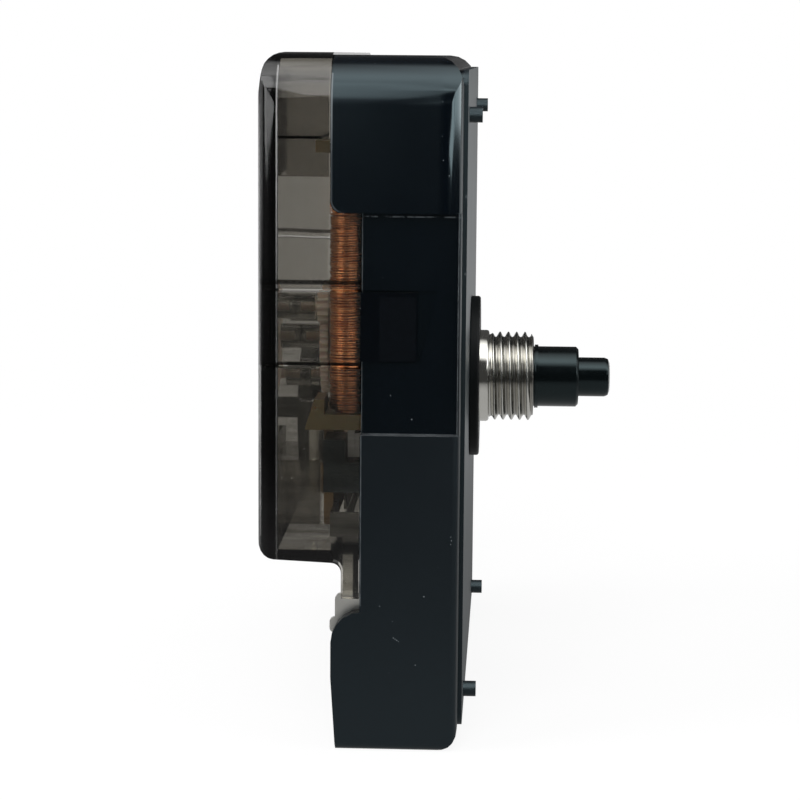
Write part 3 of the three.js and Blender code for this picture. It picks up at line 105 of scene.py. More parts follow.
class Nodes:
    """Adds nodes to one shader tree, with their inputs by name."""

    def __init__(self, tree):
        self.tree = tree
        tree.nodes.clear()

    def add(self, kind, inputs=None, **settings):
        made = self.tree.nodes.new(kind)
        for key, value in settings.items():
            setattr(made, key, value)
        for key, value in (inputs or {}).items():
            if isinstance(value, bpy.types.NodeSocket):
                self.tree.links.new(value, made.inputs[key])
            else:
                made.inputs[key].default_value = value
        return made

    def math(self, operation, first, second=0.0, third=0.0):
        inputs = {0: first, 1: second, 2: third}
        return self.add("ShaderNodeMath", inputs, operation=operation).outputs[0]

    def place(self):
        """The place on the piece, in metres."""
        return self.add("ShaderNodeTexCoord").outputs["Object"]

    def axis(self, name):
        return self.add("ShaderNodeSeparateXYZ", {0: self.place()}).outputs[name]

    def stretched(self, scale):
        """The place on the piece, scaled differently along each axis."""
        return self.add("ShaderNodeMapping", {"Vector": self.place(), "Scale": scale}).outputs[0]

    def noise(self, scale, detail=3.0, roughness=0.5, where=None):
        inputs = {"Scale": scale, "Detail": detail, "Roughness": roughness}
        inputs["Vector"] = where or self.place()
        return self.add("ShaderNodeTexNoise", inputs).outputs["Fac"]

    def between(self, value, low, high, to_low, to_high):
        inputs = {"Value": value, "From Min": low, "From Max": high, "To Min": to_low, "To Max": to_high}
        return self.add("ShaderNodeMapRange", inputs).outputs["Result"]

    def blend(self, factor, first, second):
        """One colour or the other by a factor."""
        made = self.add("ShaderNodeMix", data_type="RGBA")
        for socket, value in ((made.inputs[0], factor), (made.inputs[6], first), (made.inputs[7], second)):
            if isinstance(value, bpy.types.NodeSocket):
                self.tree.links.new(value, socket)
            elif isinstance(value, (tuple, list)):
                socket.default_value = (*value, 1.0)
            else:
                socket.default_value = value
        return made.outputs[2]

    def specks(self, scale, size, share):
        """1 inside small round specks, whose radius is a share of their cell, in some of the cells."""
        inputs = {"Vector": self.place(), "Scale": scale, "Randomness": 1.0}
        cells = self.add("ShaderNodeTexVoronoi", inputs)
        near = self.math("LESS_THAN", cells.outputs["Distance"], size)
        chosen = self.add("ShaderNodeSeparateColor", {0: cells.outputs["Color"]}).outputs[0]
        return self.math("MULTIPLY", near, self.math("LESS_THAN", chosen, share))

    def strip(self, value, middle, half, soft):
        """1 within half a width of a value, falling to 0 over a soft edge."""
        away = self.math("ABSOLUTE", self.math("SUBTRACT", value, middle))
        return self.between(away, half, half + soft, 1.0, 0.0)

    def span(self, value, low, high):
        """1 between two values."""
        above = self.math("GREATER_THAN", value, low)
        return self.math("MULTIPLY", above, self.math("LESS_THAN", value, high))

    def most(self, *values):
        """The largest of some values."""
        found = values[0]
        for value in values[1:]:
            found = self.math("MAXIMUM", found, value)
        return found

    def bump(self, height, distance, strength=1.0, normal=None):
        inputs = {"Height": height, "Distance": distance, "Strength": strength}
        if normal is not None:
            inputs["Normal"] = normal
        return self.add("ShaderNodeBump", inputs).outputs["Normal"]

    def finish(self, shader):
        self.add("ShaderNodeOutputMaterial", {"Surface": shader})


def new_material(name):
    made = bpy.data.materials.new(name)
    made.use_nodes = True
    return made, Nodes(made.node_tree)


def surface(nodes, **inputs):
    """The nodes' principled shader, with its inputs by name."""
    named = {key.replace("_", " ").title().replace("Ior", "IOR"): value for key, value in inputs.items()}
    return nodes.add("ShaderNodeBsdfPrincipled", named).outputs["BSDF"]


# Dust, nicks and a scratch on the near side: distance from the mounting face, height, radius
NICKS = (
    (-3.09, 12.85, 0.06),
    (-3.73, 7.2, 0.05),
    (-6.63, 12.0, 0.04),
    (-5.91, 29.0, 0.04),
    (-4.22, 27.1, 0.06),
    (-1.88, 47.7, 0.04),
    (-1.40, 46.5, 0.05),
    (-5.52, 9.40, 0.05),
    (-5.38, 9.31, 0.05),
    (-5.24, 9.22, 0.05),
    (-5.10, 9.12, 0.04),
    (-0.98, 17.75, 0.04),
    (-0.93, 17.45, 0.05),
    (-0.98, 17.15, 0.04),
)
PANEL_CORNER = 1.0 * MM
DIAL_SIDE_ROUGHER = 0.25  # added to the roughness of the face that lies on the dial


def painted_edge_highlights(nodes, across, up):
    """Painted highlights along the edges and seams of the near side, as pale lines: 0 to 1."""
    ragged = nodes.noise(1.1 * PER_MM, 3.0, 0.7)
    broken = nodes.between(ragged, 0.44, 0.56, 0.0, 1.0)
    faint = nodes.between(ragged, 0.3, 0.6, 0.35, 1.0)
    past_back = nodes.math("SUBTRACT", PANEL_BACK + PANEL_CORNER, across)
    past_foot = nodes.math("SUBTRACT", RECESS_HEAD + PANEL_CORNER, up)
    outer_back = nodes.math("MAXIMUM", past_back, 0.0)
    outer_foot = nodes.math("MAXIMUM", past_foot, 0.0)
    foot_square = nodes.math("MULTIPLY", outer_foot, outer_foot)
    squares = nodes.math("MULTIPLY_ADD", outer_back, outer_back, foot_square)
    inner = nodes.math("MINIMUM", nodes.math("MAXIMUM", past_back, past_foot), 0.0)
    inside = nodes.math("ADD", nodes.math("SQRT", squares), inner)
    seam = nodes.strip(inside, PANEL_CORNER - 0.06 * MM, 0.05 * MM, 0.04 * MM)
    near_back = nodes.between(across, PANEL_BACK + 0.3 * MM, PANEL_BACK + 1.2 * MM, 1.0, 0.0)
    seam = nodes.math("MULTIPLY", seam, near_back)
    seam = nodes.math("MULTIPLY", seam, nodes.between(up, 48.0 * MM, 51.0 * MM, 0.3, 1.0))
    in_recess = nodes.span(across, RECESS_BACK + 0.1 * MM, RECESS_FRONT + 0.1 * MM)
    head = nodes.strip(up, RECESS_HEAD - 0.28 * MM, 0.03 * MM, 0.05 * MM)
    head = nodes.math("MULTIPLY", nodes.math("MULTIPLY", head, in_recess), broken)
    foot = nodes.math("MULTIPLY", nodes.strip(up, RECESS_FOOT + 0.02 * MM, 0.03 * MM, 0.04 * MM), in_recess)
    foot = nodes.math("MULTIPLY", foot, faint)
    lip = nodes.strip(across, RECESS_FRONT, 0.02 * MM, 0.05 * MM)
    lip = nodes.math("MULTIPLY", nodes.math("MULTIPLY", lip, nodes.span(up, RECESS_FOOT, RECESS_HEAD)), faint)
    side = nodes.strip(across, RECESS_BACK + 0.05 * MM, 0.02 * MM, 0.05 * MM)
    side = nodes.math("MULTIPLY", side, nodes.span(up, 12.0 * MM, RECESS_HEAD))
    side = nodes.math("MULTIPLY", nodes.math("MULTIPLY", side, faint), 0.6)
    head = nodes.math("MULTIPLY", head, 0.6)
    return nodes.most(seam, head, nodes.math("MULTIPLY", foot, 0.7), nodes.math("MULTIPLY", lip, 0.7), side)


def nicks(nodes, across, up):
    """1 inside the pale dust grains and nicks of the near side."""
    flat = nodes.add("ShaderNodeCombineXYZ", {0: across, 2: up}).outputs[0]
    found = []
    for depth, height, radius in NICKS:
        centre = (FACE_X + depth * MM, 0.0, height * MM)
        away = nodes.add("ShaderNodeVectorMath", {0: flat, 1: centre}, operation="DISTANCE").outputs["Value"]
        found.append(nodes.between(away, radius * 0.5 * MM, radius * 1.4 * MM, 1.0, 0.0))
    return nodes.most(*found)


def black_plastic():
    """Black moulding: polished on the upper sides, satin on the dial side and the lower side panels."""
    made, nodes = new_material("black_plastic")
    across, along, up = (nodes.axis(axis) for axis in "XYZ")
    cloud = nodes.noise(0.12 * PER_MM, 4.0, 0.6)
    below = nodes.between(up, RECESS_FOOT - 0.15 * MM, RECESS_FOOT + 0.15 * MM, 1.0, 0.0)
    outside = nodes.between(nodes.math("ABSOLUTE", along), 27.2 * MM, 27.6 * MM, 0.0, 1.0)
    satin = nodes.math("MULTIPLY", below, outside)
    polished_colour = nodes.blend(cloud, (0.0002, 0.0007, 0.0017), (0.0005, 0.0012, 0.0025))
    satin_colour = nodes.blend(cloud, (0.0009, 0.0011, 0.0023), (0.0015, 0.0018, 0.0031))
    colour = nodes.blend(satin, polished_colour, satin_colour)
    gloss = nodes.math("MULTIPLY_ADD", satin, 0.12, 0.21)
    rough = nodes.math("MULTIPLY_ADD", nodes.math("SUBTRACT", cloud, 0.5), 0.06, gloss)
    front_edge = nodes.between(across, FACE_X - 2.3 * MM, FACE_X - 1.7 * MM, 0.0, 1.0)
    front_edge = nodes.math("MULTIPLY", front_edge, nodes.math("LESS_THAN", across, FACE_X - 0.52 * MM))
    bright_edge = nodes.math("MULTIPLY", front_edge, nodes.math("GREATER_THAN", up, RECESS_HEAD))
    rough = nodes.math("MULTIPLY_ADD", bright_edge, -0.10, rough)
    dial_side = nodes.between(across, FACE_X - 0.45 * MM, FACE_X - 0.3 * MM, 0.0, DIAL_SIDE_ROUGHER)
    rough = nodes.math("ADD", rough, dial_side)
    speck = nodes.specks(0.55 * PER_MM, 0.06, 0.06)
    fine_speck = nodes.specks(1.3 * PER_MM, 0.05, 0.05)
    dust = nodes.math("MAXIMUM", speck, nodes.math("MULTIPLY", fine_speck, 0.4))
    colour = nodes.blend(dust, colour, (0.04, 0.045, 0.048))
    near = nodes.math("LESS_THAN", along, -27.0 * MM)
    # painted highlights on the near side's edges and seams, in the colour and the roughness
    edge_highlight = nodes.math("MULTIPLY", painted_edge_highlights(nodes, across, up), nodes.math("MULTIPLY", near, 0.75))
    colour = nodes.blend(edge_highlight, colour, (0.09, 0.095, 0.10))
    nick = nodes.math("MULTIPLY", nicks(nodes, across, up), near)
    colour = nodes.blend(nick, colour, (0.06, 0.066, 0.07))
    rough = nodes.math("MULTIPLY_ADD", nodes.most(dust, edge_highlight, nick), 0.3, rough)
    grain = nodes.noise(6.0 * PER_MM, 2.0, 0.6)
    wave = nodes.noise(0.15 * PER_MM, 1.0, 0.4)
    normal = nodes.bump(grain, 0.004 * MM, nodes.math("MULTIPLY_ADD", satin, 0.5, 0.08))
    normal = nodes.bump(wave, 0.03 * MM, 0.12, normal)
    nodes.finish(
        surface(
            nodes,
            base_color=colour,
            roughness=rough,
            normal=normal,
            specular_tint=(0.70, 0.93, 1.0, 1.0),
        )
    )
    return made


# Lines and marks in the sides of the smoked cover, among them painted highlight lines and painted shade: heights
# over the foot, places along X
SLOT_LINES = (38.0, 31.45)
WALL_LINE = FACE_X - 14.95 * MM  # painted highlight line where the back wall meets the side
# painted highlight line along the rim, and the heights it spans
RIM_LINE = FACE_X - 16.3 * MM
RIM_SPAN = (17.5 * MM, 31.4 * MM)
ARM_WINDOW_X = (FACE_X - 6.8 * MM, FACE_X - 3.95 * MM)
ARM_WINDOW_Z = (31.8 * MM, 36.9 * MM)
# painted shade on the borders of the cover's neck: places along X, its top and the back of the neck
NECK_BORDERS = (-10.2, -8.6)
NECK_TOP = 17.0 * MM
NECK_BACK = FACE_X - 10.6 * MM
COVER_SIDE = 26.6 * MM  # the cover's outer sides lie beyond this distance from its middle
COVER_CLARITY = 0.9994  # a trace of matt haze in the moulding
COVER_DENSITY = 0.86 * PER_MM


def painted_neck_shade(nodes, across, up):
    """1 on the painted shade along the borders of the cover's neck."""
    neck_shade = nodes.most(*(nodes.strip(across, FACE_X + x * MM, 0.18 * MM, 0.08 * MM) for x in NECK_BORDERS))
    neck_shade = nodes.math("MULTIPLY", neck_shade, nodes.span(up, 11.0 * MM, NECK_TOP))
    neck_shade = nodes.most(neck_shade, nodes.strip(up, NECK_TOP - 0.4 * MM, 0.35 * MM, 0.15 * MM))
    return nodes.math("MULTIPLY", neck_shade, nodes.math("GREATER_THAN", across, NECK_BACK))


def painted_highlight_lines(nodes, across, up, outside):
    """Painted highlight lines in the cover's sides, at its back wall and its rim: 0 to 1."""
    wall = nodes.math("MULTIPLY", nodes.strip(across, WALL_LINE, 0.02 * MM, 0.07 * MM), outside)
    wall = nodes.math("MULTIPLY", wall, nodes.between(up, 36.0 * MM, 50.0 * MM, 0.25, 1.0))
    rim = nodes.strip(across, RIM_LINE, 0.02 * MM, 0.06 * MM)
    rim = nodes.math("MULTIPLY", rim, nodes.span(up, *RIM_SPAN))
    return nodes.most(wall, nodes.math("MULTIPLY", nodes.math("MULTIPLY", rim, outside), 0.6))


def smoked_plastic():
    """Clear moulding, tinted smoky grey through its thickness, with faint haze and dust, painted highlight lines
    and painted shade on its neck's borders.
    """
    made, nodes = new_material("smoked_plastic")
    haze = nodes.noise(0.3 * PER_MM, 3.0, 0.6)
    rough = nodes.between(haze, 0.35, 0.75, 0.012, 0.035)
    speck = nodes.specks(0.8 * PER_MM, 0.05, 0.12)
    rough = nodes.math("MULTIPLY_ADD", speck, 0.4, rough)
    across, up = nodes.axis("X"), nodes.axis("Z")
    rounded = nodes.between(across, COVER_LOW.x + 1.0 * MM, COVER_LOW.x + 1.5 * MM, 1.0, 0.0)
    rough = nodes.math("MULTIPLY_ADD", rounded, 0.10, rough)
    flow = nodes.noise(0.08 * PER_MM, 2.0, 0.5)
    screen = nodes.span(nodes.axis("Y"), SCREEN_Y - 0.1 * MM, SCREEN_Y + 0.6 * MM)
    clear = nodes.blend(haze, (0.97, 0.965, 0.95), (1.0, 1.0, 1.0))
    outside = nodes.math("GREATER_THAN", nodes.math("ABSOLUTE", nodes.axis("Y")), COVER_SIDE)
    streak = nodes.noise(1.0, 4.0, 0.7, nodes.stretched((0.06 * PER_MM, 0.06 * PER_MM, 0.55 * PER_MM)))
    low = nodes.between(up, 24.0 * MM, 27.0 * MM, 1.0, 0.0)
    low_outside = nodes.math("MULTIPLY", low, outside)
    streak = nodes.math("MULTIPLY", nodes.between(streak, 0.42, 0.6, 0.0, 1.0), low_outside)
    clear = nodes.blend(nodes.math("MULTIPLY", streak, 0.7), clear, (0.40, 0.39, 0.37))
    arm = nodes.math("MULTIPLY", nodes.math("GREATER_THAN", across, RECESS_BACK - 0.05 * MM), outside)
    window = nodes.math("MULTIPLY", nodes.span(across, *ARM_WINDOW_X), nodes.span(up, *ARM_WINDOW_Z))
    navy = nodes.blend(window, (0.0004, 0.0011, 0.0021), (0.0017, 0.0026, 0.0038))
    clear = nodes.blend(arm, clear, navy)
    # painted shade on the borders of the cover's neck
    neck_shade = painted_neck_shade(nodes, across, up)
    clear = nodes.blend(nodes.math("MULTIPLY", neck_shade, 0.9), clear, (0.05, 0.055, 0.06))
    slot = nodes.most(*(nodes.strip(up, z * MM, 0.14 * MM, 0.05 * MM) for z in SLOT_LINES))
    slot = nodes.math("MULTIPLY", slot, outside)
    clear = nodes.blend(nodes.math("MULTIPLY", slot, 0.9), clear, (0.03, 0.03, 0.03))
    # painted highlight lines: the cover is less clear there, so its pale colour shows
    pale = painted_highlight_lines(nodes, across, up, outside)
    clarity = nodes.math("MULTIPLY_ADD", pale, -0.2, COVER_CLARITY)
    clarity = nodes.math("MULTIPLY", clarity, nodes.math("MULTIPLY_ADD", arm, -0.75, 1.0))
    rib = nodes.blend(haze, (0.46, 0.44, 0.41), (0.56, 0.54, 0.50))
    glass = surface(
        nodes,
        base_color=nodes.blend(screen, clear, rib),
        roughness=rough,
        normal=nodes.bump(flow, 0.03 * MM, 0.25),
        ior=1.5,
        transmission_weight=clarity,
    )
    lamps = nodes.add("ShaderNodeBsdfTransparent", {"Color": (0.94, 0.93, 0.92, 1.0)}).outputs[0]
    ray = nodes.add("ShaderNodeLightPath").outputs["Is Shadow Ray"]
    mixed = nodes.add("ShaderNodeMixShader", {0: ray, 1: glass, 2: lamps}).outputs[0]
    absorb = nodes.add(
        "ShaderNodeVolumeAbsorption", {"Color": (0.10, 0.07, 0.0, 1.0), "Density": COVER_DENSITY}
    ).outputs[0]
    nodes.add("ShaderNodeOutputMaterial", {"Surface": mixed, "Volume": absorb})
    return made


# Painted shade in the thread's grooves: the radius where it is darkest, where it ends, and its strength
GROOVE_ROOT = 3.58 * MM
GROOVE_EDGE = 3.82 * MM
GROOVE_SHADE = 0.5


def nickel_plate():
    """Bright nickel over turned brass, with painted shade in the thread's grooves, turning marks and smudges."""
    made, nodes = new_material("nickel_plate")
    smudge = nodes.noise(0.5 * PER_MM, 4.0, 0.6)
    flat = nodes.add("ShaderNodeCombineXYZ", {1: nodes.axis("Y"), 2: nodes.axis("Z")}).outputs[0]
    centre = (0.0, SHAFT.y, SHAFT.z)
    away = nodes.add("ShaderNodeVectorMath", {0: flat, 1: centre}, operation="DISTANCE").outputs["Value"]
    # painted shade, darker towards the thread's root
    painted_groove_shade = nodes.between(away, GROOVE_ROOT, GROOVE_EDGE, GROOVE_SHADE, 0.0)
    plate = nodes.blend(smudge, (0.66, 0.65, 0.60), (0.80, 0.79, 0.75))
    marks = nodes.noise(1.0, 2.0, 0.5, nodes.stretched((22 * PER_MM, 0.6 * PER_MM, 0.6 * PER_MM)))
    nodes.finish(
        surface(
            nodes,
            base_color=nodes.blend(painted_groove_shade, plate, (0.22, 0.21, 0.19)),
            metallic=1.0,
            roughness=nodes.between(smudge, 0.3, 0.7, 0.09, 0.20),
            normal=nodes.bump(marks, 0.006 * MM, 0.4),
        )
    )
    return made


NO_TINT = (1.0, 1.0, 1.0, 1.0)


def plain_moulding(name, dark, pale, matte, grain=0.006, subsurface=0.0, tint=NO_TINT, shine=0.5):
    """A moulded plastic with cloudy colour, uneven gloss and a fine grain."""
    made, nodes = new_material(name)
    cloud = nodes.noise(0.4 * PER_MM, 4.0, 0.6)
    fine = nodes.noise(7.0 * PER_MM, 2.0, 0.6)
    nodes.finish(
        surface(
            nodes,
            base_color=nodes.blend(cloud, dark, pale),
            roughness=nodes.between(cloud, 0.3, 0.7, matte - 0.06, matte + 0.08),
            normal=nodes.bump(fine, grain * MM, 0.4),
            subsurface_weight=subsurface,
            subsurface_scale=1.0 * MM,
            specular_tint=tint,
            specular_ior_level=shine,
        )
    )
    return made


PAINTED_SHADE_FOOT = 13.5 * MM  # the contact's strap goes up behind the cover's neck between these heights, where its painted shade rises
PAINTED_SHADE_HEAD = 16.5 * MM


def metal(name, dark, pale, matte, along=(1.0, 1.0, 1.0), grain=0.004, painted_shade=False):
    """Stamped or rolled metal with stains and a grain along one axis, and if asked with painted shade inside the
    cover.
    """
    made, nodes = new_material(name)
    stain = nodes.noise(0.5 * PER_MM, 4.0, 0.65)
    scale = tuple(12 * PER_MM * share for share in along)
    lines = nodes.noise(1.0, 3.0, 0.6, nodes.stretched(scale))
    colour = nodes.blend(stain, dark, pale)
    if painted_shade:
        # painted shade: the colour darkens upward between these heights
        inside = nodes.between(nodes.axis("Z"), PAINTED_SHADE_FOOT, PAINTED_SHADE_HEAD, 0.0, 0.85)
        colour = nodes.blend(inside, colour, (0.05, 0.05, 0.047))
    nodes.finish(
        surface(
            nodes,
            base_color=colour,
            metallic=1.0,
            roughness=nodes.between(stain, 0.3, 0.7, matte - 0.07, matte + 0.1),
            normal=nodes.bump(lines, grain * MM, 0.5),
        )
    )
    return made


def copper_wire():
    """Enamelled copper wire: metal under a clear orange brown coat, uneven from turn to turn, partly by painted
    highlights and shade between the turns, with painted shade towards the housing wall and the coil's ends.
    """
    made, nodes = new_material("copper_wire")
    turns = nodes.noise(1.0, 3.0, 0.6, nodes.stretched((0.4 * PER_MM, 0.4 * PER_MM, 5.0 * PER_MM)))
    cloud = nodes.noise(0.7 * PER_MM, 4.0, 0.6)
    turns = nodes.between(turns, 0.30, 0.56, 0.0, 1.0)
    shade = nodes.math("MULTIPLY_ADD", cloud, 0.3, nodes.math("MULTIPLY", turns, 0.7))
    # painted shade: darker towards the housing wall, much darker towards the coil's foot and a little towards its
    # head
    away = nodes.between(nodes.axis("X"), COIL_X - 1.0 * MM, RECESS_BACK - 0.1 * MM, 1.0, 0.0)
    ends = nodes.between(nodes.axis("Z"), 28.0 * MM, 31.5 * MM, 0.3, 1.0)
    ends = nodes.math("MULTIPLY", ends, nodes.between(nodes.axis("Z"), 37.5 * MM, 40.5 * MM, 1.0, 0.8))
    lit = nodes.math("MULTIPLY", nodes.math("MULTIPLY_ADD", away, 0.75, 0.25), ends)
    # turn to turn colour: partly uneven wire, partly painted highlights and shade between the turns
    wire = nodes.blend(shade, (0.50, 0.12, 0.04), (1.0, 0.48, 0.21))
    nodes.finish(
        surface(
            nodes,
            base_color=nodes.blend(lit, (0.10, 0.03, 0.012), wire),
            metallic=1.0,
            roughness=nodes.between(shade, 0.2, 0.8, 0.34, 0.20),
            coat_weight=0.4,
            coat_roughness=0.2,
        )
    )
    return made


MATERIALS = {
    "black_plastic": black_plastic(),
    "smoked_plastic": smoked_plastic(),
    "nickel_plate": nickel_plate(),
    "black_rubber": plain_moulding(
        "black_rubber", (0.0012, 0.0020, 0.0022), (0.0026, 0.0036, 0.0039), 0.5, 0.01, shine=0.18
    ),
    "shaft_plastic": plain_moulding(
        "shaft_plastic",
        (0.0009, 0.0016, 0.0019),
        (0.0018, 0.0027, 0.0031),
        0.15,
        0.003,
        tint=(0.72, 0.96, 1.0, 1.0),
        shine=0.38,
    ),
    "natural_plastic": plain_moulding(
        "natural_plastic", (0.68, 0.57, 0.50), (0.84, 0.73, 0.66), 0.38, 0.004, 0.2
    ),
    "steel": metal("steel", (0.30, 0.30, 0.31), (0.46, 0.46, 0.46), 0.36, (0.1, 0.1, 1.0)),
    "magnet": metal("magnet", (0.07, 0.07, 0.075), (0.13, 0.13, 0.135), 0.5),
    "copper_wire": copper_wire(),
    "spool_plastic": plain_moulding(
        "spool_plastic", (0.08, 0.062, 0.025), (0.13, 0.10, 0.042), 0.34, 0.004, 0.3
    ),
    "board": plain_moulding("board", (0.11, 0.065, 0.022), (0.20, 0.125, 0.05), 0.5, 0.01),
    "resin": plain_moulding("resin", (0.006, 0.006, 0.006), (0.014, 0.014, 0.014), 0.2),
    # with painted shade on its strap inside the cover
    "contact_metal": metal(
        "contact_metal", (0.76, 0.75, 0.70), (0.94, 0.93, 0.88), 0.32, (1.0, 1.0, 0.08), painted_shade=True
    ),
}

# CAD pieces that keep their shape: rounded edges, smooth shading and their materials

NODE_BEVEL = {"front_housing": 0.18, "rear_cover": 0.16, "rubber_washer": 0.08, "setting_knob": 0.08}
PLAIN_BEVEL = 0.03


def finish_node(name, material):
    """Rounds a CAD node's sharp edges by modifiers and gives it its material."""
    piece = frame["nodes"][name]
    piece.data.polygons.foreach_set("use_smooth", [True] * len(piece.data.polygons))
    if "custom_normal" in piece.data.attributes:
        piece.data.attributes.remove(piece.data.attributes["custom_normal"])
    piece.data.materials.clear()
    piece.data.materials.append(material)
    weld = piece.modifiers.new("weld", "WELD")
    weld.merge_threshold = 0.0005 * MM
    flat = piece.modifiers.new("flat_faces", "DECIMATE")
    flat.decimate_type = "DISSOLVE"
    flat.angle_limit = math.radians(0.6)
    bevel = piece.modifiers.new("edges", "BEVEL")
    bevel.width = NODE_BEVEL.get(name, PLAIN_BEVEL) * MM
    bevel.segments = 3
    bevel.limit_method = "ANGLE"
    bevel.angle_limit = math.radians(32)
    bevel.use_clamp_overlap = True
    bevel.miter_outer = "MITER_ARC"
    weighted = piece.modifiers.new("shading", "WEIGHTED_NORMAL")
    weighted.weight = 60
    weighted.keep_sharp = True


NODE_SLOTS = {part["node"]: part["material_slot"] for part in frame["record"]["subparts"]}


# Wound coil


def link_piece(name, mesh, body, slot_name, smooth=True):
    """Links a mesh as a piece that rides on a body, with a slot's material."""
    mesh.polygons.foreach_set("use_smooth", [smooth] * len(mesh.polygons))
    piece = bpy.data.objects.new(name, mesh)
    bpy.context.scene.collection.objects.link(piece)
    mesh.materials.append(MATERIALS[slot_name])
    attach(piece, body)
    return piece


def tube(points, radius, sides):
    """Corners and faces of a closed tube along points, with flat ends."""
    corners = []
    faces = []
    count = len(points)
    for i, point in enumerate(points):
        ahead = points[min(i + 1, count - 1)] - points[max(i - 1, 0)]
        along = ahead.normalized()
        side = along.cross(Vector((0, 0, 1)))
        if side.length < 1e-6:
            side = along.cross(Vector((1, 0, 0)))
        side.normalize()
        over = side.cross(along)
        for k in range(sides):
            turn = 2 * math.pi * k / sides
            corners.append(point + (side * math.cos(turn) + over * math.sin(turn)) * radius)
    for i in range(count - 1):
        for k in range(sides):
            a, b = i * sides + k, i * sides + (k + 1) % sides
            faces.append((a, b, b + sides, a + sides))
    faces.append(tuple(reversed(range(sides))))
    faces.append(tuple(range((count - 1) * sides, count * sides)))
    return corners, faces


WINDING_PITCH = 0.2 * MM
WINDING_WIRE = 0.098 * MM
WINDING_STEPS = 30
WINDING_SIDES = 6


def winding_layer(chance, centre, foot, head, radius, lean):
    """Points of one layer of fine wire, each turn a little off its place, as a machine winds it."""
    turns = int((head - foot) / WINDING_PITCH)
    height, offset = [], []
    group, sunk = 0, 0.0
    for turn in range(turns + 2):
        if group == 0:
            group = chance.randint(2, 6)
            sunk = chance.uniform(-0.03, 0.05)
            offset.append(chance.uniform(-0.13, -0.06) * MM)
        else:
            group -= 1
            offset.append((sunk + chance.uniform(-0.02, 0.02)) * MM)
        height.append(chance.uniform(-0.05, 0.05) * MM)
    tilt = [chance.uniform(-0.05, 0.05) * MM for _ in range(turns + 2)]
    points = []
    for step in range(turns * WINDING_STEPS + 1):
        turn, part = divmod(step, WINDING_STEPS)
        part /= WINDING_STEPS
        smooth = part * part * (3 - 2 * part)
        angle = 2 * math.pi * part
        out = radius + offset[turn] * (1 - smooth) + offset[turn + 1] * smooth
        rise = (turn + part) * WINDING_PITCH + height[turn] * (1 - smooth) + height[turn + 1] * smooth
        leaning = (lean * MM + tilt[turn] * (1 - smooth) + tilt[turn + 1] * smooth) * math.cos(angle)
        round_x = centre.x + out * math.cos(angle)
        round_y = centre.y + out * math.sin(angle)
        points.append(Vector((round_x, round_y, foot + rise + leaning)))
    return points


def make_winding():
    low, high = body_box("coil_wire")
    centre = Vector(((low.x + high.x) / 2, (low.y + high.y) / 2))
    outer = (high.x - low.x) / 2 - WINDING_WIRE - 0.07 * MM
    margin = 0.2 * MM
    chance = random.Random(7)
    corners, faces = [], []
    for radius, lean in ((outer - 0.19 * MM, -0.05), (outer, 0.05)):
        points = winding_layer(chance, centre, low.z + margin, high.z - margin, radius, lean)
        more, sides = tube(points, WINDING_WIRE, WINDING_SIDES)
        base = len(corners)
        corners += more
        faces += [tuple(base + corner for corner in face) for face in sides]
    mesh = bpy.data.meshes.new("coil_winding")
    mesh.from_pydata(corners, [], faces)
    piece = link_piece("coil_winding", mesh, "case", "copper_wire")
    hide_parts("coil_wire")


# Threaded bushing

THREAD_PITCH = 0.75 * MM
THREAD_RADIUS = 4.0 * MM
THREAD_DEPTH = 0.46 * MM
THREAD_SIDES = 144
SHOULDER_RADIUS = 4.14 * MM
BUSHING_BORE = 2.83 * MM


def thread_radius(along, turn):
    """The thread's radius at a distance along the bushing and a share of a turn."""
    phase = (along / THREAD_PITCH - turn) % 1.0
    slope = abs(2 * phase - 1)  # 1 at the crest, 0 in the root
    shaped = min(1.0, max(0.0, (slope - 0.10) / 0.78))
    rounding = shaped * shaped * (3 - 2 * shaped)
    return THREAD_RADIUS - THREAD_DEPTH * (1 - 0.55 * shaped - 0.45 * rounding)


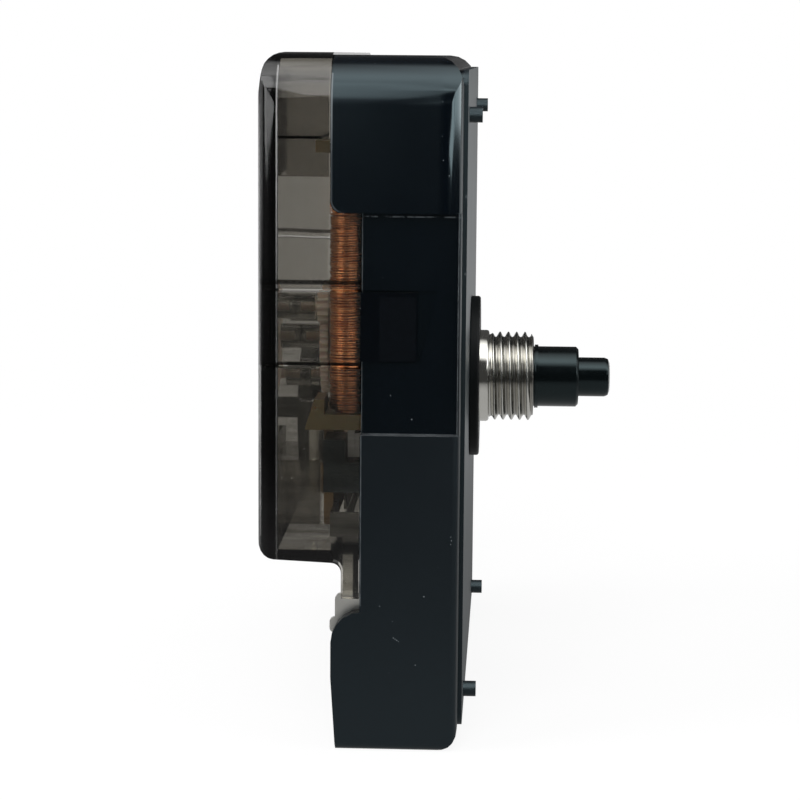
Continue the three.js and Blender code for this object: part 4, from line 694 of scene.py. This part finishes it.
def make_bushing():
    """The bushing as one lathe-like skin, with a helical thread between its shoulder and its chamfer."""
    low, high = body_box("threaded_bushing")
    face, end = FACE_X, high.x
    start = face + 1.7 * MM
    chamfer = 0.4 * MM
    flange_back = low.x
    flange_front = face - 1.6 * MM
    profile = [
        (flange_back, BUSHING_BORE, False),
        (flange_back, 4.9 * MM, False),
        (flange_back + 0.1 * MM, 5.0 * MM, False),
        (flange_front, 5.0 * MM, False),
        (flange_front, THREAD_RADIUS, False),
        (face + 0.2 * MM, THREAD_RADIUS, False),
        (face + 0.3 * MM, SHOULDER_RADIUS, False),
        (start - 0.25 * MM, SHOULDER_RADIUS, False),
        (start - 0.1 * MM, SHOULDER_RADIUS - 0.06 * MM, False),
        (start - 0.02 * MM, SHOULDER_RADIUS - 0.2 * MM, False),
    ]
    steps = 110
    for step in range(steps + 1):
        along = start + (end - start) * step / steps
        profile.append((along, None, True))
    profile += [
        (end, BUSHING_BORE + 0.25 * MM, False),
        (end - 0.25 * MM, BUSHING_BORE, False),
        ((start + end) / 2, BUSHING_BORE, False),
        (start, BUSHING_BORE, False),
        (face, BUSHING_BORE, False),
    ]
    corners = []
    for along, radius, threaded in profile:
        for side in range(THREAD_SIDES):
            turn = side / THREAD_SIDES
            out = radius
            if threaded:
                out = thread_radius(along - start, turn)
                run_in = min(1.0, (along - start) / (0.5 * MM))
                out = out * run_in + (THREAD_RADIUS - 0.25 * MM) * (1 - run_in)
                out = min(out, THREAD_RADIUS - THREAD_DEPTH + (end - along) / chamfer * THREAD_DEPTH * 1.3)
            angle = 2 * math.pi * turn
            corners.append((along, SHAFT.y + out * math.cos(angle), SHAFT.z + out * math.sin(angle)))
    faces = []
    rows = len(profile)
    for row in range(rows):
        first, second = row * THREAD_SIDES, (row + 1) % rows * THREAD_SIDES
        for side in range(THREAD_SIDES):
            other = (side + 1) % THREAD_SIDES
            faces.append((first + side, second + side, second + other, first + other))
    mesh = bpy.data.meshes.new("bushing_thread")
    mesh.from_pydata(corners, [], faces)
    piece = link_piece("bushing_thread", mesh, "case", "nickel_plate")
    edges = piece.modifiers.new("edges", "BEVEL")
    edges.width = 0.03 * MM
    edges.segments = 2
    edges.limit_method = "ANGLE"
    edges.angle_limit = math.radians(50)
    weighted = piece.modifiers.new("shading", "WEIGHTED_NORMAL")
    weighted.keep_sharp = True
    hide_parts("threaded_bushing")


# Stage and light: white for the camera and through glass, and a tent of light for gloss

AMBIENT = 0.45  # the world for matt surfaces
CARD_LIGHT = 2.2
LEFT_CARD_LIGHT = 3.0
RIGHT_CARD_LIGHT = 5.2

# Levels that gloss sees
ROOM_BEHIND = 1.0  # behind the object, up to the horizon
ROOM_ABOVE = 0.07  # and above it
GAP_IN_FRONT = 0.05  # round the camera
FRONT_LIGHT = 3.2
SIDE_LIGHT = 1.2
SIDE_LIGHT_HEAD = 0.2  # share of the side light that is left higher up
FLOOR_BEHIND = 1.0
NEAR_FLOOR = 0.45

# Borders in the world, by the parts of a direction, each from one level to the next
HORIZON = (-0.008, 0.02)
BACK_HALF = (0.0, 0.15)
FRONT_LIGHT_RISE = (44.0, 64.0)  # degrees of climb from the floor in front
FRONT_LIGHT_FALL = (72.0, 114.0)
SIDE_LIGHT_WIDTH = (0.42, 0.58)
SIDE_LIGHT_FOOT = (0.31, 0.36)
SIDE_LIGHT_FADE = (0.45, 0.65)
SIDE_LIGHT_BACK = (0.25, 0.45)

# Floor, in metres from its middle
FLOOR_REACH = 2.4
SHADOW_SHARE = 0.10
SHADOW_REACH = (0.06, 0.22)
FLOOR_BACK_HALF = (-0.02, 0.15)
FLOOR_NEAR_REACH = (0.05, 0.16)

# Lamps for matt surfaces: place in metres, width, height, radiance
SOFTBOXES = (
    ("front_box", (-0.1, -0.75, 0.62), 0.5, 0.7, 6.0),
    ("right_box", (0.75, -0.35, 0.35), 0.5, 0.6, 2.4),
    ("left_box", (-0.75, -0.3, 0.35), 0.5, 0.6, 7.0),
    ("top_box", (0.0, 0.1, 0.9), 0.6, 0.4, 2.4),
)

# Cards close round the object, seen in glossy surfaces only: place, target, width and height in millimetres
CARDS = (
    ("low_card", (-23, -89.5, 101.7), (-8, -26, 53), 44, 52, CARD_LIGHT),
    ("left_card", (-88, -72, 97.5), (0, -72, 97.5), 56, 105, LEFT_CARD_LIGHT),
    ("front_left_card", (-52, -106, 96), (-14, -28, 96), 58, 90, LEFT_CARD_LIGHT),
    ("right_card", (84, -45, 100), (0, -45, 100), 110, 105, RIGHT_CARD_LIGHT),
    ("front_right_card", (60, -128, 97.5), (0, -28, 97.5), 64, 98, RIGHT_CARD_LIGHT),
)
CASE_CARDS = ("left_card", "front_left_card", "right_card", "front_right_card")


def make_floor():
    """A pale floor that shows the object's faint shadow, and is white further out and through glass."""
    half = FLOOR_REACH
    mesh = bpy.data.meshes.new("floor")
    corners = [(-half, -half, 0), (half, -half, 0), (half, half, 0), (-half, half, 0)]
    mesh.from_pydata(corners, [], [(0, 1, 2, 3)])
    floor = bpy.data.objects.new("floor", mesh)
    bpy.context.scene.collection.objects.link(floor)
    made, nodes = new_material("floor")
    pale = nodes.blend(nodes.noise(3.0, 3.0), (0.80, 0.80, 0.80), (0.83, 0.83, 0.83))
    lit = nodes.add("ShaderNodeBsdfDiffuse", {"Color": pale}).outputs[0]
    white = nodes.add("ShaderNodeEmission", {"Color": (1, 1, 1, 1), "Strength": 1.0}).outputs[0]
    away = nodes.add("ShaderNodeVectorMath", {0: nodes.place()}, operation="LENGTH").outputs["Value"]
    share = nodes.between(away, *SHADOW_REACH, 1.0 - SHADOW_SHARE, 1.0)
    seen = nodes.add("ShaderNodeMixShader", {0: share, 1: lit, 2: white}).outputs[0]
    behind = nodes.between(nodes.axis("Y"), *FLOOR_BACK_HALF, GAP_IN_FRONT, FLOOR_BEHIND)
    close = nodes.between(away, *FLOOR_NEAR_REACH, 1.0, 0.0)
    level = nodes.add("ShaderNodeMix", {0: close, 2: behind, 3: NEAR_FLOOR})
    path = nodes.add("ShaderNodeLightPath")
    through = path.outputs["Is Transmission Ray"]
    shown = nodes.add("ShaderNodeMix", {0: through, 2: level.outputs[0], 3: 1.0}).outputs[0]
    dim = nodes.add("ShaderNodeEmission", {"Color": (1, 1, 1, 1), "Strength": shown}).outputs[0]
    mirror = nodes.math("MAXIMUM", path.outputs["Is Glossy Ray"], through)
    other = nodes.add("ShaderNodeMixShader", {0: mirror, 1: lit, 2: dim}).outputs[0]
    camera = path.outputs["Is Camera Ray"]
    nodes.finish(nodes.add("ShaderNodeMixShader", {0: camera, 1: other, 2: seen}).outputs[0])
    mesh.materials.append(made)


def make_world():
    """White for the camera and through glass, a tent of light for gloss, a plain level for matt surfaces."""
    world = bpy.data.worlds.new("world")
    bpy.context.scene.world = world
    world.use_nodes = True
    world.cycles.sampling_method = "NONE"
    nodes = Nodes(world.node_tree)
    direction = nodes.add("ShaderNodeTexCoord").outputs["Generated"]
    parts = nodes.add("ShaderNodeSeparateXYZ", {0: direction})
    across, ahead, up = (parts.outputs[axis] for axis in "XYZ")
    path = nodes.add("ShaderNodeLightPath")
    wide = nodes.between(nodes.math("ABSOLUTE", across), *SIDE_LIGHT_WIDTH, 0.0, 1.0)
    round_up = nodes.math("ARCTAN2", up, nodes.math("MULTIPLY", ahead, -1.0))
    climb = nodes.math("DEGREES", round_up)
    rise = nodes.between(climb, *FRONT_LIGHT_RISE, 0.0, FRONT_LIGHT)
    fall = nodes.between(climb, *FRONT_LIGHT_FALL, 1.0, 0.0)
    overhead = nodes.math("MULTIPLY", rise, fall)
    beside = nodes.math("MULTIPLY", nodes.between(up, *SIDE_LIGHT_FOOT, 0.0, SIDE_LIGHT), wide)
    beside = nodes.math("MULTIPLY", beside, nodes.between(ahead, *SIDE_LIGHT_BACK, 1.0, 0.0))
    beside = nodes.math("MULTIPLY", beside, nodes.between(up, *SIDE_LIGHT_FADE, 1.0, SIDE_LIGHT_HEAD))
    low = nodes.between(up, *HORIZON, ROOM_BEHIND, ROOM_ABOVE)
    behind = nodes.between(ahead, *BACK_HALF, 0.0, 1.0)
    room = nodes.add("ShaderNodeMix", {0: behind, 2: GAP_IN_FRONT, 3: low}).outputs[0]
    tent = nodes.most(overhead, beside, room)
    level = nodes.add("ShaderNodeMix", {0: path.outputs["Is Glossy Ray"], 2: AMBIENT, 3: tent}).outputs[0]
    white = nodes.math("MAXIMUM", path.outputs["Is Camera Ray"], path.outputs["Is Transmission Ray"])
    strength = nodes.add("ShaderNodeMix", {0: white, 2: level, 3: 1.0}).outputs[0]
    light = nodes.add("ShaderNodeBackground", {"Color": (1, 1, 1, 1), "Strength": strength}).outputs[0]
    nodes.add("ShaderNodeOutputWorld", {"Surface": light})


def softbox(name, centre, target, width, height, radiance, gloss_only=False):
    """An area lamp that faces a target, by the radiance of its surface, for matt or for glossy surfaces."""
    data = bpy.data.lights.new(name, "AREA")
    data.shape = "RECTANGLE"
    data.size = width
    data.size_y = height
    data.energy = radiance * width * height * math.pi
    lamp = bpy.data.objects.new(name, data)
    lamp.location = centre
    lamp.rotation_mode = "QUATERNION"
    lamp.rotation_quaternion = (target - centre).to_track_quat("-Z", "Y")
    lamp.visible_glossy = gloss_only
    lamp.visible_diffuse = not gloss_only
    lamp.visible_transmission = not gloss_only
    lamp.visible_camera = False
    bpy.context.scene.collection.objects.link(lamp)
    return lamp


def make_lights():
    middle = Vector((0, 0, SIZE_Z / 2))
    for name, place, width, height, radiance in SOFTBOXES:
        softbox(name, Vector(place), middle, width, height, radiance)
    case = bpy.data.collections.new("case_receivers")
    for node_name in ("front_housing", "rear_cover"):
        case.objects.link(frame["nodes"][node_name])
    for name, place, target, width, height, radiance in CARDS:
        centre, towards = Vector(place) * MM, Vector(target) * MM
        lamp = softbox(name, centre, towards, width * MM, height * MM, radiance, gloss_only=True)
        if name in CASE_CARDS:
            lamp.light_linking.receiver_collection = case


make_camera()
for node_name, slot_name in NODE_SLOTS.items():
    finish_node(node_name, MATERIALS[slot_name])
make_winding()
make_bushing()
make_floor()
make_world()
make_lights()
bpy.context.scene.view_settings.view_transform = "Standard"
